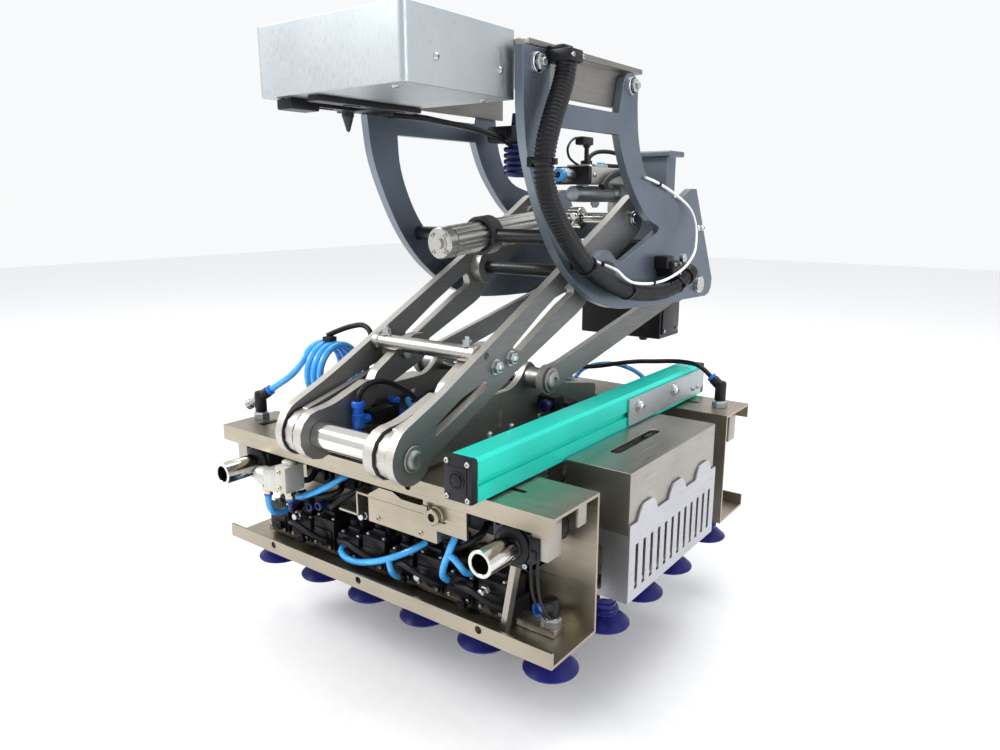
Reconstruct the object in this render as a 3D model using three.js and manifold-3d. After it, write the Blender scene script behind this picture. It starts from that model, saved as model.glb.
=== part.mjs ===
// Pneumatic area gripper: thirty suction cups on a base with two sliding carriers, hung from a
// robot head by a swing linkage. Units are millimetres and +Z is up.
// Work axes: X to the right, Y to the back, Z = 0 at the lips of the cups. The last group moves the
// whole object so that the centre of the robot mounting face becomes the origin.
import * as THREE from 'three';
import { mergeVertices } from 'three/addons/utils/BufferGeometryUtils.js';
import Module from 'manifold-3d';

const wasm = await Module();
wasm.setup();

// ---------------------------------------------------------------- driving dimensions
const GAP = 0.3;
const MOUNT_FACE = { y: 20, z: 592 };
const LOWER_PIVOT = { y: -240, z: 199 };
const UPPER_PIVOT = { y: 62, z: 347 };
const LINK_LOWER = { y: -30, z: 236 };
const LINK_UPPER = { y: 335, z: 312 };
const TRUNNION = { y: -25, z: 392 };
const LEVER_PIN = { y: 178, z: 408 };
const DOUBLER_BOLTS = [{ y: -114, z: 264 }, { y: -88, z: 269 }];
const STRETCHER = { y: -128, z: 277 };

const HANGER = { inner: 100, outer: 110, top: 573.5 };
const ARM = { inner: 73, outer: 83, hub: 26 };
const DOUBLER = { inner: 44, outer: 56 };
const CHEEK = { inner: 60, outer: 68 };
const LINK = { inner: 88, outer: 96, half: 13 };
const PIN_R = 8;
const BORE_R = 8.4;

const SHEET = 3;
const CARRIER = { half: 231, bottom: 33.5, top: 174, depth: 76, lip: 16, skirt: 18 };
const FRONT_WALL = -153;
const BACK_WALL = 159;
const GUIDE = { x: 182, z: 134, r: 12.5, bore: 9, half: 267 };
const CUP = { r: 27, pitch: 80, perRow: 6, stem: 6, rail: 9, carrierReach: 29 };
const RAIL_HEIGHT = 8;
const MANIFOLD = { left: -195, right: 165, depth: 18, height: 42 };
const CENTRE_ROWS = [-80, 0, 80];
const CENTRE_PLATE = { bottom: 45, top: 49, half: 228, front: -104, back: 101 };
const COVER = { inner: 165, outer: 238, front: -106, back: 103, bottom: 100, top: 179 };
const GUARD = { outer: 240.5, front: -108.5, back: 105.5, bottom: 45.5, slots: 12 };
const EJECTOR = { left: 132, right: 163, bottom: 176.5, top: 217, front: -244, back: 240 };
const HEAD_BOX = { half: 94, front: -250, back: -97.5, bottom: 525, top: 588, wall: 2 };
const CHANNEL = { half: 99.6, front: -97, back: 138, bottom: 534, web: 574, top: 580, wall: 6 };
const BARREL = { r: 17, front: -78, back: 140 };
const ROD_R = 6;

// ---------------------------------------------------------------- solids
// A closed three.js geometry as a solid that can be joined and cut.
function solid(geometry) {
  const bare = geometry.index ? geometry.toNonIndexed() : geometry.clone();
  bare.deleteAttribute('normal');
  bare.deleteAttribute('uv');
  const merged = mergeVertices(bare, 1e-4);
  return new wasm.Manifold(new wasm.Mesh({
    numProp: 3,
    vertProperties: merged.attributes.position.array,
    triVerts: new Uint32Array(merged.index.array),
  }));
}

function geometryOf(body) {
  const { vertProperties, triVerts } = body.getMesh();
  const geometry = new THREE.BufferGeometry();
  geometry.setAttribute('position', new THREE.BufferAttribute(vertProperties, 3));
  geometry.setIndex(new THREE.BufferAttribute(triVerts, 1));
  return geometry;
}

const join = (...bodies) => bodies.flat().reduce((sum, body) => sum.add(body));
const cut = (body, ...tools) => tools.flat().reduce((rest, tool) => rest.subtract(tool), body);

function box([x0, x1], [y0, y1], [z0, z1]) {
  const geometry = new THREE.BoxGeometry(x1 - x0, y1 - y0, z1 - z0);
  geometry.translate((x0 + x1) / 2, (y0 + y1) / 2, (z0 + z1) / 2);
  return solid(geometry);
}

// Local axes of a shape drawn square to each world axis: X takes (Y, Z), Y takes (X, Z), Z takes (X, Y).
const FRAMES = {
  x: new THREE.Matrix4().set(0, 0, 1, 0, 1, 0, 0, 0, 0, 1, 0, 0, 0, 0, 0, 1),
  y: new THREE.Matrix4().set(1, 0, 0, 0, 0, 0, -1, 0, 0, 1, 0, 0, 0, 0, 0, 1),
  z: new THREE.Matrix4(),
};

// A flat plate: the shape pushed along the axis from one value to the other.
function plate(axis, shape, from, to, curveSegments = 3) {
  const depth = to - from;
  const geometry = new THREE.ExtrudeGeometry(shape, { depth, bevelEnabled: false, curveSegments });
  geometry.translate(0, 0, axis === 'y' ? -to : from);
  geometry.applyMatrix4(FRAMES[axis]);
  return solid(geometry);
}

// A straight round bar along an axis; u and v are its centre in the plane square to that axis.
function bar(axis, u, v, radius, from, to, sides = 14) {
  const geometry = new THREE.CylinderGeometry(radius, radius, to - from, sides);
  geometry.rotateX(Math.PI / 2);
  const middle = (from + to) / 2;
  geometry.translate(u, v, axis === 'y' ? -middle : middle);
  geometry.applyMatrix4(FRAMES[axis]);
  return solid(geometry);
}

const vectors = (points) => points.map(([u, v]) => new THREE.Vector2(u, v));

function polygon(points) {
  return new THREE.Shape(vectors(points));
}

// A polygon whose corners are rounded with quadratic curves; each point is [u, v, radius], and a
// radius is cut down where the edges beside it are too short.
function roundedPolygon(points) {
  const shape = new THREE.Shape();
  const corners = points.map(([u, v, radius = 0]) => ({ at: new THREE.Vector2(u, v), radius }));
  corners.forEach(({ at, radius }, i) => {
    const before = corners[(i + corners.length - 1) % corners.length].at;
    const after = corners[(i + 1) % corners.length].at;
    const reach = Math.min(radius, 0.48 * at.distanceTo(before), 0.48 * at.distanceTo(after));
    const start = at.clone().add(before.clone().sub(at).setLength(reach));
    const end = at.clone().add(after.clone().sub(at).setLength(reach));
    if (i === 0) shape.moveTo(start.x, start.y);
    else shape.lineTo(start.x, start.y);
    if (radius > 0) shape.quadraticCurveTo(at.x, at.y, end.x, end.y);
  });
  shape.closePath();
  return shape;
}

function turned(profile, segments) {
  const points = profile.map(([r, z]) => new THREE.Vector2(r, z));
  const geometry = new THREE.LatheGeometry(points, segments);
  geometry.rotateX(Math.PI / 2);
  return solid(geometry);
}

// A tube along a smooth curve through the points.
function hose(points, radius, { sides = 10, steps = 24 } = {}) {
  const section = new THREE.Shape();
  for (let i = 0; i < sides; i += 1) {
    const angle = (2 * Math.PI * i) / sides;
    const [u, v] = [radius * Math.cos(angle), radius * Math.sin(angle)];
    if (i === 0) section.moveTo(u, v);
    else section.lineTo(u, v);
  }
  const path = new THREE.CatmullRomCurve3(points.map((p) => new THREE.Vector3(...p)));
  const geometry = new THREE.ExtrudeGeometry(section, { steps, extrudePath: path });
  return solid(geometry);
}

const mirrored = (body) => body.scale([-1, 1, 1]);
const rad = THREE.MathUtils.degToRad;

// Turns a body about the X axis through a point of the YZ plane.
function tilted(body, degrees, { y, z }) {
  return body.translate([0, -y, -z]).rotate([degrees, 0, 0]).translate([0, y, z]);
}

// ---------------------------------------------------------------- materials and nodes
const finishes = {
  stainless: { color: 0x9f9a92, roughness: 0.35, metalness: 1 },
  paintedSteel: { color: 0x66707b, roughness: 0.45, metalness: 0.6 },
  armSteel: { color: 0x77808a, roughness: 0.4, metalness: 0.8 },
  zinc: { color: 0xaab2b8, roughness: 0.4, metalness: 0.8 },
  chrome: { color: 0xd8d8d8, roughness: 0.12, metalness: 1 },
  aluminium: { color: 0xb6b5b0, roughness: 0.35, metalness: 1 },
  turquoise: { color: 0x2dcdbb, roughness: 0.45, metalness: 0.2 },
  black: { color: 0x17181b, roughness: 0.55, metalness: 0 },
  navy: { color: 0x15168a, roughness: 0.5, metalness: 0 },
  blue: { color: 0x3aa0ea, roughness: 0.35, metalness: 0 },
  white: { color: 0xe4e6e6, roughness: 0.5, metalness: 0 },
  brass: { color: 0xb6a371, roughness: 0.3, metalness: 1 },
};
const nodes = [];

function node(name, finish, body) {
  const mesh = new THREE.Mesh(geometryOf(body), new THREE.MeshStandardMaterial(finishes[finish]));
  mesh.name = name;
  nodes.push(mesh);
}

// ---------------------------------------------------------------- head
function hangerPlate() {
  const { top } = HANGER;
  const outline = new THREE.Shape();
  outline.moveTo(-106, top);
  outline.lineTo(-105, 520);
  outline.splineThru(vectors([
    [-99, 480], [-83, 440], [-59, 398], [-30, 364], [5, 337], [45, 316], [95, 303], [160, 298],
  ]));
  outline.lineTo(368, 292);
  outline.quadraticCurveTo(392, 292, 391, 316);
  outline.lineTo(353, 382);
  outline.lineTo(316, 446);
  outline.lineTo(298, 446);
  outline.lineTo(262, 431);
  outline.lineTo(212, 442);
  outline.splineThru(vectors([[170, 453], [147, 476], [134, 506], [129, 540]]));
  outline.quadraticCurveTo(132, top, 112, top);
  outline.quadraticCurveTo(92, top, 90, 550);
  outline.lineTo(84, 527);
  outline.lineTo(-61, 527);
  outline.lineTo(-58, top);
  outline.closePath();
  const boss = 28;
  const window = new THREE.Path();
  window.moveTo(-58, 504);
  window.splineThru(vectors([[-55, 470], [-42, 436], [-22, 405], [6, 379], [28, 366]]));
  window.absarc(UPPER_PIVOT.y, UPPER_PIVOT.z, boss, rad(126), rad(40), true);
  window.lineTo(100, 357);
  window.lineTo(198, 391);
  window.quadraticCurveTo(207, 396, 196, 399);
  window.splineThru(vectors([[172, 407], [143, 427], [115, 455], [98, 479], [86, 504]]));
  outline.holes.push(window);
  const flat = plate('x', outline, HANGER.inner, HANGER.outer);
  const bores = [UPPER_PIVOT, LINK_UPPER, TRUNNION]
    .map(({ y, z }) => bar('x', y, z, BORE_R, HANGER.inner - 1, HANGER.outer + 1));
  return cut(flat, bores);
}

function headChannel() {
  const { half, front, back, bottom, web, top, wall } = CHANNEL;
  const section = polygon([
    [-half, bottom], [-half + wall, bottom], [-half + wall, web],
    [half - wall, web], [half - wall, bottom], [half, bottom],
    [half, web + GAP], [HANGER.outer, web + GAP], [HANGER.outer, top],
    [-HANGER.outer, top], [-HANGER.outer, web + GAP], [-half, web + GAP],
  ]);
  return plate('y', section, front, back);
}

function adapterPlate() {
  const half = 70;
  const { y, z } = MOUNT_FACE;
  const outline = roundedPolygon([[-half, y - half, 10], [half, y - half, 10], [half, y + half, 10],
    [-half, y + half, 10]]);
  const body = plate('z', outline, CHANNEL.top + GAP, z);
  const holes = [45, 135, 225, 315].map((angle) => bar(
    'z', 40 * Math.cos(rad(angle)), y + 40 * Math.sin(rad(angle)), 4.5, CHANNEL.top, z + 1, 12,
  ));
  return cut(body, holes);
}

// The sheet-metal box in front of the channel, open towards the channel.
function headBox() {
  const { half, front, back, bottom, top, wall } = HEAD_BOX;
  const outline = roundedPolygon([[-half, front, 6], [half, front, 6], [half, back, 0], [-half, back, 0]]);
  const hollow = box([-half + wall, half - wall], [front + wall, back + 1], [bottom + wall, top - wall]);
  return cut(plate('z', outline, bottom, top, 4), hollow);
}

// Two sensor rails under the box, joined by a cross strip that holds the level sensor.
function sensorRails() {
  const top = HEAD_BOX.bottom - GAP;
  const strip = [top - 5, top];
  const cone = turned([[0, -24], [2.5, -24], [6.5, -9], [6.5, -4], [0, -4]], 16).translate([-82, -150, top]);
  return join(
    box([-80, -64], [-238, -100], strip),
    box([-40, -24], [-238, -100], strip),
    box([-90, -39], [-158, -142], strip),
    box([-82, -60], [-240, -206], [top - 10, top]),
    cone,
  );
}

// A cross shaft between the two sides, with a round head on each end.
function crossShaft({ y, z }, halfLength, headR) {
  const head = bar('x', y, z, headR, halfLength - 0.1, halfLength + 6);
  return join(bar('x', y, z, PIN_R, -halfLength, halfLength), head, mirrored(head));
}

// The cross block that ties the two hanger plates together at the back and carries the air units.
function rearCrossBlock() {
  const reach = HANGER.inner - GAP;
  const beam = box([-reach, reach], [322, 350], [372, 412]);
  const post = box([20, 62], [322, 350], [411, 492]);
  const cap = box([12, 70], [312, 360], [491, 499]);
  return join(beam, post, cap);
}

// The flow-control block lies on two feet on the cross block's front side.
function airUnit() {
  const body = box([-34, 20], [176, 316], [452, 474]);
  const foot = box([-20, 6], [296, 340], [412.3, 453]);
  const neck = bar('y', -8, 463, 8, 150, 176.1, 14);
  return cut(join(body, foot, neck), bar('y', -8, 463, 4, 149, 170, 12));
}

// The valve box hangs under the cross block; the upper link shaft passes through it.
function rearValveBox() {
  const { y, z } = LINK_UPPER;
  return cut(box([-62, 70], [303, 369], [231, 371.7]), bar('x', y, z, PIN_R + 0.6, -63, 71));
}

// The corrugated conduit tied along the outer face of the right hanger.
function conduit() {
  const radius = 9.5;
  const x = HANGER.outer + radius + 7;
  const route = [
    [-50, 572], [-57, 545], [-74, 516], [-88, 478], [-84, 441], [-62, 407], [-24, 373], [31, 345], [105, 325],
    [188, 318], [262, 326],
  ];
  return hose(route.map(([y, z]) => [x, y, z]), radius, { sides: 10, steps: 22 });
}

// The thin cable lies in a wide loop on the outer face of the right hanger.
function sensorCable() {
  const x = HANGER.outer + 3;
  const route = [
    [130, 466], [157, 455], [215, 442], [262, 430], [291, 412], [305, 384], [297, 362], [262, 347],
    [225, 338], [190, 335], [150, 340], [118, 352],
  ];
  return hose(route.map(([y, z]) => [x, y, z]), 1.7, { sides: 6, steps: 40 });
}

function buildHead() {
  node('robot_adapter_plate', 'aluminium', adapterPlate());
  node('head_channel', 'zinc', headChannel());
  node('hanger_plate_right', 'paintedSteel', hangerPlate());
  node('hanger_plate_left', 'paintedSteel', mirrored(hangerPlate()));
  node('head_box', 'zinc', headBox());
  node('sensor_rails', 'black', sensorRails());
  node('upper_pivot_shaft', 'chrome', crossShaft(UPPER_PIVOT, HANGER.outer + GAP, 15));
  node('link_shaft_upper', 'chrome', crossShaft(LINK_UPPER, HANGER.outer + GAP, 12));
  node('rear_cross_block', 'paintedSteel', rearCrossBlock());
  node('air_unit', 'aluminium', airUnit());
  node('rear_valve_box', 'black', rearValveBox());
  node('hanger_conduit', 'black', conduit());
  node('sensor_cable', 'white', sensorCable());
}

// ---------------------------------------------------------------- swing arms
function swingArm() {
  const { y, z } = LOWER_PIVOT;
  const outline = roundedPolygon([
    [y - 8, z - 25, 8], [y + 22, z - 10, 12], [-60, 259, 30], [62, 307, 18], [102, 340, 10], [150, 366, 20],
    [204, 392, 14], [206, 420, 16], [182, 442, 16], [128, 412, 30], [-200, 248, 40], [y - 16, z + 26, 18],
    [y - 27, z + 4, 16],
  ]);
  outline.holes.push(roundedPolygon([
    [-84, 279, 4], [-69, 273, 4], [12, 314, 8], [40, 325, 6], [34, 342, 6], [-30, 310, 10],
  ]));
  outline.holes.push(roundedPolygon([
    [-208, 212, 1], [-170, 227, 2], [-124, 246, 2], [-130, 252, 2], [-170, 241, 2], [-206, 223, 2],
  ]));
  const flat = plate('x', outline, ARM.inner, ARM.outer);
  const hub = bar('x', y, z, ARM.hub, ARM.inner, ARM.outer, 28);
  const upperHub = bar('x', UPPER_PIVOT.y, UPPER_PIVOT.z, 21, ARM.inner - 13, ARM.outer + 2);
  const pinHub = bar('x', LEVER_PIN.y, LEVER_PIN.z, 16, ARM.inner - 4, ARM.outer);
  const bores = [
    bar('x', y, z, 9.4, ARM.inner - 1, ARM.outer + 1),
    bar('x', UPPER_PIVOT.y, UPPER_PIVOT.z, BORE_R, ARM.inner - 14, ARM.outer + 3),
    bar('x', LEVER_PIN.y, LEVER_PIN.z, 6.3, ARM.inner - 5, ARM.outer + 1, 16),
    bar('x', STRETCHER.y, STRETCHER.z, 4.3, ARM.inner - 1, ARM.outer + 1, 12),
    ...DOUBLER_BOLTS.map((at) => bar('x', at.y, at.z, 4.3, ARM.inner - 1, ARM.outer + 1, 12)),
  ];
  return cut(join(flat, hub, upperHub, pinHub), bores);
}

function armDoubler() {
  const { y, z } = LOWER_PIVOT;
  const outline = roundedPolygon([
    [y + 6, z - 25, 4], [-140, 232, 10], [-78, 254, 12], [-70, 280, 10], [-98, 284, 10], [-158, 250, 4],
    [-165, 240, 3], [-172, 243, 3], [-222, 226, 14], [y - 8, z + 25, 4],
  ]);
  const flat = plate('x', outline, DOUBLER.inner, DOUBLER.outer);
  const hub = bar('x', y, z, ARM.hub, DOUBLER.inner, DOUBLER.outer);
  const bores = [
    bar('x', y, z, 9.4, DOUBLER.inner - 1, DOUBLER.outer + 1),
    ...DOUBLER_BOLTS.map((at) => bar('x', at.y, at.z, 4.3, DOUBLER.inner - 1, ARM.inner, 12)),
  ];
  const spacers = DOUBLER_BOLTS
    .map((at) => bar('x', at.y, at.z, 8, DOUBLER.outer - 1, ARM.inner - GAP, 16));
  return cut(join(flat, hub, spacers), bores);
}

function stretcherBar() {
  const { y, z } = STRETCHER;
  const reach = ARM.inner - GAP;
  const stud = bar('x', y, z, 4, ARM.inner - 4, ARM.outer - GAP, 12);
  const collar = bar('x', y, z, 10.5, reach - 8, reach);
  const end = join(stud, collar);
  return join(bar('x', y, z, 8.5, -reach, reach), end, mirrored(end));
}

function buildArms() {
  node('swing_arm_right', 'armSteel', swingArm());
  node('swing_arm_left', 'armSteel', mirrored(swingArm()));
  node('arm_doubler_right', 'armSteel', armDoubler());
  node('arm_doubler_left', 'armSteel', mirrored(armDoubler()));
  node('stretcher_bar', 'zinc', stretcherBar());
  const leverEnd = ARM.outer + 5;
  const head = bar('x', LEVER_PIN.y, LEVER_PIN.z, 10, ARM.outer + GAP, leverEnd - 1, 16);
  const pin = bar('x', LEVER_PIN.y, LEVER_PIN.z, 6, -leverEnd, leverEnd, 16);
  node('cylinder_pin', 'chrome', join(pin, head, mirrored(head)));
}

// ---------------------------------------------------------------- rear links
function rearLink() {
  const { y, z } = LINK_LOWER;
  const length = Math.hypot(LINK_UPPER.y - y, LINK_UPPER.z - z);
  const slope = THREE.MathUtils.radToDeg(Math.atan2(LINK_UPPER.z - z, LINK_UPPER.y - y));
  const slotStart = length - 24;
  const slotEnd = length + 4;
  const slotHalf = PIN_R + 1;
  const outline = new THREE.Shape();
  outline.absarc(y, z, LINK.half + 4, rad(60), rad(300), false);
  outline.lineTo(y + 24, z - LINK.half);
  outline.lineTo(y + slotStart - 24, z - LINK.half);
  outline.lineTo(y + slotStart - 6, z - LINK.half - 5);
  outline.absarc(y + slotEnd, z, LINK.half + 5, -Math.PI / 2, Math.PI / 2, false);
  outline.lineTo(y + slotStart - 6, z + LINK.half + 5);
  outline.lineTo(y + slotStart - 24, z + LINK.half);
  outline.lineTo(y + 24, z + LINK.half);
  outline.closePath();
  const slot = new THREE.Path();
  slot.absarc(y + slotStart, z, slotHalf, Math.PI / 2, -Math.PI / 2, false);
  slot.absarc(y + slotEnd, z, slotHalf, -Math.PI / 2, Math.PI / 2, false);
  slot.closePath();
  outline.holes.push(slot);
  const body = cut(
    plate('x', outline, LINK.inner, LINK.outer, 6),
    bar('x', y, z, BORE_R, LINK.inner - 1, LINK.outer + 1),
  );
  return tilted(body, slope, LINK_LOWER);
}

function buildLinks() {
  node('rear_link_right', 'armSteel', rearLink());
  node('rear_link_left', 'armSteel', mirrored(rearLink()));
}

// ---------------------------------------------------------------- air cylinder
const cylinderSlope = THREE.MathUtils.radToDeg(
  Math.atan2(LEVER_PIN.z - TRUNNION.z, LEVER_PIN.y - TRUNNION.y),
);
const cylinderReach = Math.hypot(LEVER_PIN.z - TRUNNION.z, LEVER_PIN.y - TRUNNION.y);
const alongCylinder = (body) => tilted(body.translate([0, TRUNNION.y, TRUNNION.z]), cylinderSlope, TRUNNION);

function barrelProfile() {
  const ribs = 12;
  const points = [];
  for (let i = 0; i < ribs; i += 1) {
    [[-0.32, 1], [0.32, 1], [0.4, 0.9], [0.6, 0.9]].forEach(([turn, scale]) => {
      const angle = (2 * Math.PI * (i + turn)) / ribs;
      points.push([BARREL.r * scale * Math.cos(angle), BARREL.r * scale * Math.sin(angle)]);
    });
  }
  return polygon(points);
}

function buildCylinder() {
  const { r, front, back } = BARREL;
  const bore = bar('y', 0, 0, 12.5, front - 1, back + 1);
  const gland = cut(
    bar('y', 0, 0, r, back - 16.1, back),
    bar('y', 0, 0, ROD_R + 0.4, back - 17, back + 1),
  );
  const tube = cut(plate('y', barrelProfile(), front + 14, back - 16), bore);
  node('cylinder_barrel', 'aluminium', alongCylinder(join(tube, gland)));
  const endCap = join(
    bar('y', 0, 0, r, front, front + 14 - GAP),
    bar('y', 0, 0, 10, front - 4, front + 0.1, 16),
  );
  node('cylinder_end_cap', 'aluminium', alongCylinder(endCap));
  const ringR = 22;
  const journal = bar('x', 0, 0, PIN_R, ringR - 3, HANGER.outer + 4);
  const ring = cut(
    join(bar('y', 0, 0, ringR, -10, 10, 24), journal, mirrored(journal)),
    bar('y', 0, 0, r + 2 * GAP, -11, 11, 28),
  );
  node('trunnion_yoke', 'paintedSteel', alongCylinder(ring));

  const eye = cut(
    join(
      bar('x', cylinderReach, 0, 14, -9, 9),
      box([-8, 8], [cylinderReach - 22, cylinderReach - 8], [-8, 8]),
      bar('y', 0, 0, ROD_R, 70, cylinderReach - 21),
      bar('y', 0, 0, 12, 60, 76),
    ),
    bar('x', cylinderReach, 0, PIN_R, -10, 10),
  );
  node('piston_rod', 'chrome', alongCylinder(eye));
}

// ---------------------------------------------------------------- base
function cheekPlate() {
  const { y, z } = LOWER_PIVOT;
  const link = LINK_LOWER;
  const barTop = 150.3;
  const clear = 177;
  const outline = roundedPolygon([
    [y + 4, z - 21.5, 2], [-112, clear, 0], [-100, barTop, 0], [99, barTop, 0], [110, clear, 0],
    [122, 186, 4], [122, 200, 6], [40, 216, 20], [link.y + 16, link.z + 6, 8], [link.y, link.z + 21, 14],
    [link.y - 18, link.z, 8], [-64, 228, 8], [-122, 228, 3], [-125, 246, 6], [-140, 250, 8],
    [y - 2, z + 25, 2],
  ]);
  const flat = plate('x', outline, CHEEK.inner, CHEEK.outer);
  const hub = bar('x', y, z, ARM.hub - 2.5, DOUBLER.outer + GAP, ARM.inner - GAP);
  const slot = box([CHEEK.inner - 1, CHEEK.outer + 1], [-88, -82], [190, 214]);
  return cut(
    join(flat, hub),
    bar('x', y, z, 9.4, DOUBLER.outer, ARM.inner),
    bar('x', link.y, link.z, BORE_R, CHEEK.inner - 1, CHEEK.outer + 1),
    slot,
  );
}

function lowerPivotShaft() {
  const { y, z } = LOWER_PIVOT;
  const end = ARM.outer + 6;
  const head = bar('x', y, z, 13, ARM.outer + GAP, end);
  return join(
    bar('x', y, z, 14, -DOUBLER.inner + GAP, DOUBLER.inner - GAP),
    bar('x', y, z, 9, -end, end),
    head,
    mirrored(head),
  );
}

// The shaft through both cheeks that carries the lower ends of the rear links.
function linkShaftLower() {
  const { y, z } = LINK_LOWER;
  const end = join(
    bar('x', y, z, 12, CHEEK.outer + GAP, LINK.inner - GAP),
    bar('x', y, z, 14, LINK.outer + GAP, LINK.outer + 3),
    bar('x', y, z, 11, LINK.outer + 2.9, LINK.outer + 7),
  );
  const reach = LINK.outer + 6;
  return join(bar('x', y, z, PIN_R, -reach, reach), end, mirrored(end));
}

// A bar across the base that holds both guide rods in its end blocks.
function crossBar(sign) {
  const y = [sign * 98, sign * 78].sort((a, b) => a - b);
  const beam = box([-162, 162], y, [118, 150]);
  const block = cut(
    box([GUIDE.x - 22, GUIDE.x + 22], y, [112, 156]),
    bar('y', GUIDE.x, GUIDE.z, GUIDE.r + GAP, y[0] - 1, y[1] + 1),
  );
  const postY = [sign * 98, sign * 91].sort((a, b) => a - b);
  const post = box([110, 138], postY, [CENTRE_PLATE.top + GAP, 118.1]);
  const rest = box([EJECTOR.left + 6, EJECTOR.right - 6], y, [149.9, EJECTOR.bottom - GAP]);
  return join(beam, block, mirrored(block), post, mirrored(post), rest);
}

function guideRod() {
  const { x, z, r, bore, half } = GUIDE;
  return cut(bar('y', x, z, r, -half, half), bar('y', x, z, bore, -half - 1, half + 1));
}

const cupXs = Array.from({ length: CUP.perRow }, (_, i) => (i - (CUP.perRow - 1) / 2) * CUP.pitch);

function suctionCup(plateBottom) {
  const top = plateBottom - GAP;
  return turned([[0, 9], [25, 0], [CUP.r, 0], [CUP.r, 3], [10, 17], [10, top], [0, top]], 10);
}

const spread = (body, ys) => ys.flatMap((y) => cupXs.map((x) => body.translate([x, y, 0])));
const stemHoles = (ys, z0, z1) => spread(bar('z', 0, 0, CUP.stem + 0.6, z0 - 1, z1 + 1, 6), ys);

// A vacuum rail above a plate with its six cups below the plate, joined by their stems.
function cupRow(y, plateBottom, plateTop) {
  const half = CUP.pitch * (CUP.perRow / 2 - 0.5) + CUP.rail;
  const rail = box([-half, half], [y - CUP.rail, y + CUP.rail], [plateTop + GAP, plateTop + RAIL_HEIGHT]);
  const stem = bar('z', 0, 0, CUP.stem, plateBottom - 6, plateTop + 1, 6);
  return join(rail, spread(join(suctionCup(plateBottom), stem), [y]));
}

// A carrier's cup row, with the valve manifold on the middle of its rail.
function carrierCupRow(y) {
  const floor = CARRIER.bottom + SHEET;
  const { left, right, depth, height } = MANIFOLD;
  const manifold = box([left, right], [y - depth, y + depth], [floor + GAP, floor + height]);
  return join(cupRow(y, CARRIER.bottom, floor), manifold);
}

function centrePlate() {
  const { bottom, top, half, front, back } = CENTRE_PLATE;
  return cut(box([-half, half], [front, back], [bottom, top]), stemHoles(CENTRE_ROWS, bottom, top));
}

// A sheet cover over each end of the centre plate, open below and towards the middle.
function endCover() {
  const { inner, outer, front, back, bottom, top } = COVER;
  const wall = 2;
  const shell = cut(
    box([inner, outer], [front, back], [bottom, top]),
    box([inner - 1, outer - wall], [front + wall, back - wall], [bottom - 1, top - wall]),
  );
  const windowOutline = roundedPolygon([[188, -60, 6], [200, -60, 6], [200, 40, 6], [188, 40, 6]]);
  const window = plate('z', windowOutline, top - 4, top + 1, 4);
  return cut(shell, window, bar('y', GUIDE.x, GUIDE.z, 16, front - 5, back + 5));
}

// The slotted guard around the cover's foot: its upper edge has three raised bumps.
function slottedGuard() {
  const { outer, front, back, bottom, slots } = GUARD;
  const { inner } = COVER;
  const wall = 2;
  const edge = 127;
  const side = new THREE.Shape();
  side.moveTo(front, bottom);
  side.lineTo(back, bottom);
  side.lineTo(back, edge);
  [70, 0, -70].forEach((y) => {
    side.lineTo(y + 22, edge);
    side.quadraticCurveTo(y + 16, edge + 14, y + 8, edge + 15);
    side.lineTo(y - 8, edge + 15);
    side.quadraticCurveTo(y - 16, edge + 14, y - 22, edge);
  });
  side.lineTo(front, edge);
  side.closePath();
  const pitch = (back - front - 16) / slots;
  const slotTools = Array.from({ length: slots }, (_, i) => front + 8 + pitch * (i + 0.5))
    .map((y) => box([outer - 5, outer + 1], [y - 3, y + 3], [56, 104]));
  const face = cut(plate('x', side, outer - wall, outer), slotTools);
  const endSlot = roundedPolygon([[205, 52, 3], [211, 52, 3], [211, 100, 3], [205, 100, 3]]);
  const end = cut(
    box([inner, outer - 1], [front, front + wall], [bottom, 116]),
    plate('y', endSlot, front - 1, front + 3),
  );
  const rear = box([inner, outer - 1], [back - wall, back], [bottom, 116]);
  return join(face, end, rear);
}

function ejectorSection() {
  const { left, right, bottom, top } = EJECTOR;
  const groove = 194;
  return polygon([
    [left, bottom], [right, bottom], [right, groove - 3], [right - 4, groove - 3], [right - 4, groove + 3],
    [right, groove + 3], [right, top - 3], [right - 3, top], [left + 3, top], [left, top - 3],
    [left, groove + 3], [left + 4, groove + 3], [left + 4, groove - 3], [left, groove - 3],
  ]);
}

function buildEjector() {
  const { left, right, bottom, top, front, back } = EJECTOR;
  const x = (left + right) / 2;
  const z = (bottom + top) / 2;
  const channel = bar('y', x, z, 9, front - 1, back + 1);
  node('ejector_housing', 'turquoise', cut(plate('y', ejectorSection(), front, back), channel));
  const capDepth = 9;
  node('ejector_cap_front', 'black', box([left, right], [front - capDepth, front - GAP], [bottom, top]));
  node('ejector_cap_back', 'black', box([left, right], [back + GAP, back + capDepth], [bottom, top]));
  const bracketShape = roundedPolygon([
    [28, 181, 2], [228, 181, 2], [240, 190, 2], [240, 212, 2], [28, 212, 2],
  ]);
  node('ejector_bracket', 'zinc', plate('x', bracketShape, right + GAP, right + 3));
}

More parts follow.
